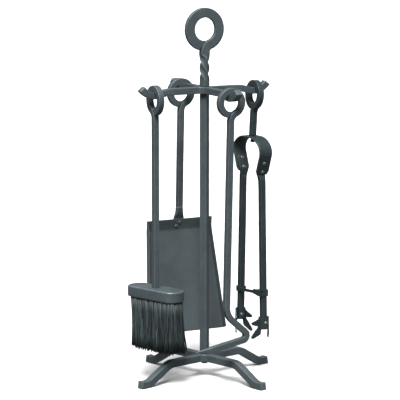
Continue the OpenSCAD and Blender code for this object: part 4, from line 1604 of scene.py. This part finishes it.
@dataclass
class Poker:
    """Poker: eye, long shaft, and a hook turned back under it."""

    shop: Workshop
    bars: Bars
    lean: float = 1.3
    bend_z: float = 133.0
    out_bend: tuple[float, float] = (50.0, 30.0)
    link: float = 31.0
    back_bend: tuple[float, float] = (128.0, 8.0)
    tail: float = 86.0
    point: float = 26.0

    def build(self) -> None:
        """Make and place the poker."""
        half = self.bars.tool_half
        angle = math.radians(self.lean)
        u_dir = Vector((math.cos(angle), 0.0, -math.sin(angle)))
        v_dir = Vector((math.sin(angle), 0.0, math.cos(angle)))
        origin = Vector((0.0, -self.bars.seat_r, self.bars.eye_z))
        drop = (self.bars.eye_z - self.bend_z) / math.cos(angle)
        down = BarPath(origin, u_dir, v_dir, half, half, v=-drop, heading=-math.pi / 2.0)
        down.bend(*self.out_bend)
        down.run(self.link)
        down.bend(-self.back_bend[0], self.back_bend[1])
        down.run(self.tail)

        path = BarPath(origin, u_dir, v_dir, half, half, u=down.u, v=down.v, heading=down.heading + math.pi)
        ahead = Vector((math.cos(path.heading), math.sin(path.heading)))
        side = Vector((-ahead.y, ahead.x))
        steps = 9
        tip = []
        for step in range(steps + 1):
            share = step / steps
            half_in = 0.9 + (half - 0.9) * share
            half_across = 1.2 + (half - 1.2) * share
            spot = Vector((path.u, path.v)) + ahead * self.point * share + side * (half - half_in)
            tip.append(Station(path.world(spot.x, spot.y), path.world(*(spot + side)) - path.world(*spot),
                               path.across, half_in, half_across, min(1.2, half_in * 0.6)))
        path.u += ahead.x * self.point
        path.v += ahead.y * self.point
        path.run(self.tail - self.point)
        path.bend(self.back_bend[0], self.back_bend[1])
        path.run(self.link)
        path.bend(-self.out_bend[0], self.out_bend[1])
        path.eye(0.0, self.bars.eye_radius, self.bars.crook, 1.0)
        piece = self.shop.forge.bar("poker_bar", tip + path.stations, Surface.IRON, seed=9.0)
        settle(piece, "poker", "poker")


@dataclass
class Tongs:
    """Sprung tongs: hanger, bow, two arms with riveted leaves, claws and a link."""

    shop: Workshop
    bars: Bars
    crown_z: float = 396.0
    eye_lean: float = 3.0
    strip_half: float = 1.25
    strip_half_w: float = 12.0
    crown_flat: float = 10.0
    crown_lap: float = 1.5
    shoulder: tuple[float, float] = (40.0, 45.0)
    side_bend: tuple[float, float] = (72.0, 18.0)
    limb: float = 33.0
    limb_top: tuple[float, float] = (44.04, 364.94)
    limb_lean: float = 22.0
    gap: float = 0.3
    leaf_t: float = 3.0
    leaf_half_w: float = 8.6
    rivets_along: tuple[float, float] = (12.0, 28.0)
    arm_top: tuple[float, float] = (31.5, 333.4)
    arm_low: tuple[float, float] = (39.2, 82.0)
    nub_half: tuple[float, float, float] = (2.6, 3.6, 2.4)  # of its neck, its swell and its tip
    nub_steps: tuple[float, float, float, float] = (4.0, 2.0, 2.2, 1.6)  # down the neck and the swell
    nub_corner: tuple[float, float] = (2.5, 3.4)  # of the neck and of the swell

    def build(self) -> None:
        """Make and place the tongs' pieces."""
        self._hanger()
        for side, body in ((1.0, "tongs_left"), (-1.0, "tongs_right")):
            self._half_bow(side, body)
            self._arm(side, body)
            self._heads(side, body)
        for node in ("claw_left", "claw_right", "link_strap", "link_clip"):
            self.shop.palette.dress(bpy.data.objects[node], Surface.TONGS)

    def _hanger(self) -> None:
        """Make the hanger, which leans out to its hook, and its peened end."""
        half = self.bars.tool_half
        lean = math.radians(self.eye_lean)
        out = Vector((math.sin(lean), 0.0, math.cos(lean)))
        path = BarPath(Vector((self.bars.seat_r, 0.0, self.crown_z)), Vector((0.0, -1.0, 0.0)), out, half, half,
                       heading=math.pi / 2.0)
        path.mark()
        path.eye(self.bars.eye_z - self.crown_z + 0.2, self.bars.eye_radius, self.bars.crook, 1.0)
        hanger = self.shop.forge.bar("tongs_hanger_bar", path.stations, Surface.TONGS, seed=10.0)
        settle(hanger, "tongs_hanger", "tongs")
        under = BarPath(Vector((self.bars.seat_r, 0.0, self.crown_z - self.strip_half)), Vector((1.0, 0.0, 0.0)),
                        UP, self.nub_half[0], self.nub_half[0], corner=self.nub_corner[0], spacing=0.8,
                        heading=-math.pi / 2.0)
        neck, swell, flat, tip = self.nub_steps
        under.mark()
        under.run(neck)
        under.corner = self.nub_corner[1]
        under.run(swell, self.nub_half[1], self.nub_half[1])
        under.run(flat)
        under.run(tip, self.nub_half[2], self.nub_half[2])
        nub = self.shop.forge.bar("tongs_peened_end", under.stations, Surface.TONGS, seed=4.0)
        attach(nub, "tongs")

    def _half_bow(self, side: float, body: str) -> None:
        """Make one half of the bow, which bends between the crown and an arm.

        Args:
            side: 1 for the left half (+Y), -1 for the right.
            body: the arm's body.
        """
        centre = Vector((self.bars.seat_r, 0.0, 0.0))
        path = BarPath(centre, Vector((0.0, side, 0.0)), UP, self.strip_half, self.strip_half_w, corner=0.9,
                       spacing=2.0, u=-self.crown_lap, v=self.crown_z - self.strip_half)
        path.mark()
        path.run(self.crown_flat + self.crown_lap)
        path.bend(-self.shoulder[0], self.shoulder[1] - self.strip_half)
        path.bend(-self.side_bend[0], self.side_bend[1] - self.strip_half)
        path.run(self.limb - 7.0)
        path.run(7.0, half_across=9.5)
        name = "tongs_bow_" + body.split("_")[1]
        piece = self.shop.forge.bar(name, path.stations, Surface.TONGS, dent=0.12, seed=11.0)
        if side > 0:
            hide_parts("tongs_bow")
        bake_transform(piece)

    def _limb(self, share: float, depth: float) -> Vector:
        """Find a point on a limb.

        Args:
            share: distance down the limb.
            depth: depth in from its outer face.

        Returns:
            The point, as (y, z).
        """
        lean = math.radians(self.limb_lean)
        down = Vector((-math.sin(lean), -math.cos(lean)))
        inner = Vector((-math.cos(lean), math.sin(lean)))
        return Vector(self.limb_top) + down * share + inner * depth

    def _arm(self, side: float, body: str) -> None:
        """Make one arm, drawn out at its top into a leaf on the bow.

        Args:
            side: 1 for the left arm (+Y), -1 for the right.
            body: the arm's body.
        """
        half = self.bars.tool_half
        deep = 2.0 * self.strip_half + self.gap + self.leaf_t / 2.0
        low, high = Vector(self.arm_low), Vector(self.arm_top)
        way = (high - low).normalized()
        leaf = [self._limb(share, deep) for share in (31.0, 24.0, 12.0, 8.0, 5.0)]
        points = [(*low, half, half), (*(low + way * 60.0), half, half), (*(low + way * 180.0), half, half),
                  (*(high - way * 12.0), half, half), (*(high - way * 4.0 + Vector((-1.2, 0.0))), 3.4, 5.8),
                  (*leaf[0], 1.5, self.leaf_half_w - 0.8), (*leaf[1], 1.5, self.leaf_half_w),
                  (*leaf[2], 1.5, self.leaf_half_w), (*leaf[3], 1.5, self.leaf_half_w * 0.85),
                  (*leaf[4], 1.3, self.leaf_half_w * 0.5)]
        plane = plane_at(Vector((self.bars.seat_r, 0.0, 0.0)), Vector((0.0, side, 0.0)), UP)
        label = body.split("_")[1]
        piece = self.shop.forge.bar("tongs_arm_bar_" + label, along(points, plane, 2.5), Surface.TONGS,
                                    seed=13.0 + side)
        settle(piece, "tongs_arm_" + label, body)

    def _heads(self, side: float, body: str) -> None:
        """Make the rivet heads of one arm.

        Args:
            side: 1 for the left arm (+Y), -1 for the right.
            body: the arm's body.
        """
        label = body.split("_")[1]
        through = 2.0 * self.strip_half + 2.0 * self.gap + self.leaf_t
        lean = math.radians(self.limb_lean)
        inner = Vector((0.0, -math.cos(lean) * side, math.sin(lean)))
        heads = []
        for share in self.rivets_along:
            for depth, way in ((-self.gap, -1.0), (through - self.gap, 1.0)):
                spot = self._limb(share, depth)
                heads.append((Vector((self.bars.seat_r, spot.x * side, spot.y)), inner * way))
        finish = self.shop.palette.of(Surface.RIVET_PAINTED_HIGHLIGHT)
        piece = self.shop.rivets.place("tongs_rivet_heads_" + label, heads, 3.3, 1.4, finish, seed=7)
        settle(piece, "tongs_rivets_" + label, body)
        self.shop.palette.dress(bpy.data.objects["claw_rivet_" + label], Surface.RIVET_PAINTED_HIGHLIGHT)


# --------------------------------------------------------------------------
# Studio
# --------------------------------------------------------------------------
@dataclass
class Studio:
    """Pale floor, soft lights and the camera."""

    palette: Palette
    azimuth: float = -27.9
    pitch: float = 8.84
    distance: float = 3.713
    slide: float = -0.00734
    height: float = 0.8725
    lens: float = 206.1
    fill: float = 0.17  # strength of the surround as a light
    backdrop: float = 1.0  # its strength as the camera sees it

    def build(self) -> None:
        """Put up the floor, the lights and the camera."""
        self._floor()
        self._world()
        self._light("key", (-1.1, -1.5, 2.5), 24.0, 5.0)
        self._light("top", (-0.3, 0.4, 3.0), 40.0, 1.6)
        self._light("side", (2.6, -0.9, 0.9), 30.0, 0.3)
        self._camera()

    def _floor(self) -> None:
        """Lay the floor."""
        mesh = bpy.data.meshes.new("studio_floor")
        size = 14.0
        mesh.from_pydata([(-size, -size, 0.0), (size, -size, 0.0), (size, size, 0.0), (-size, size, 0.0)], [],
                         [(0, 1, 2, 3)])
        floor = bpy.data.objects.new("studio_floor", mesh)
        bpy.context.collection.objects.link(floor)
        self.palette.dress(floor, Surface.FLOOR)
        floor.visible_diffuse = False
        floor.visible_glossy = False

    def _world(self) -> None:
        """Set an even white surround, brighter to the camera than as a light."""
        world = bpy.data.worlds.new("studio")
        world.use_nodes = True
        nodes = Nodes(world.node_tree)
        background = world.node_tree.nodes["Background"]
        background.inputs["Color"].default_value = (1.0, 1.0, 1.0, 1.0)
        seen = nodes.add("ShaderNodeLightPath").outputs["Is Camera Ray"]
        nodes.link(nodes.remap(seen, 0.0, 1.0, self.fill, self.backdrop), background.inputs["Strength"])
        bpy.context.scene.world = world

    @staticmethod
    def _light(name: str, place: tuple[float, float, float], spread: float, strength: float) -> None:
        """Hang a wide soft light, far off, that faces the set and lights it evenly.

        Args:
            name: the light's name.
            place: the direction that it comes from.
            spread: how wide it looks from the set, in degrees.
            strength: its strength, in watts on a square metre.
        """
        data = bpy.data.lights.new(name, "SUN")
        data.angle = math.radians(spread)
        data.energy = strength
        lamp = bpy.data.objects.new(name, data)
        bpy.context.collection.objects.link(lamp)
        lamp.location = place
        lamp.rotation_euler = Vector(place).to_track_quat("Z", "Y").to_euler()

    def _camera(self) -> None:
        """Set the camera at its angle and distance."""
        azimuth, pitch = math.radians(self.azimuth), math.radians(self.pitch)
        ahead = Vector((-math.sin(azimuth), math.cos(azimuth), 0.0))
        right = Vector((math.cos(azimuth), math.sin(azimuth), 0.0))
        data = bpy.data.cameras.new("camera")
        data.lens = self.lens
        data.sensor_width = 36.0
        data.clip_end = 50.0
        camera = bpy.data.objects.new("camera", data)
        bpy.context.collection.objects.link(camera)
        camera.location = ahead * -self.distance + right * self.slide + UP * self.height
        aim = ahead * math.cos(pitch) - UP * math.sin(pitch)
        camera.rotation_euler = aim.to_track_quat("-Z", "Y").to_euler()
        bpy.context.scene.camera = camera


def main() -> None:
    """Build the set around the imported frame."""
    logging.basicConfig(level=logging.INFO, format="%(name)s: %(message)s")
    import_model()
    bpy.context.scene.view_settings.view_transform = "Standard"
    palette = Palette()
    shop = Workshop(palette, Forge(palette), RivetHeads())
    bars = Bars()
    for assembly in (Stand(shop, bars), Brush(shop, bars), Shovel(shop, bars), Poker(shop, bars),
                     Tongs(shop, bars)):
        LOG.info("building %s", type(assembly).__name__)
        assembly.build()
    Studio(palette).build()


if __name__ == "__main__":
    main()
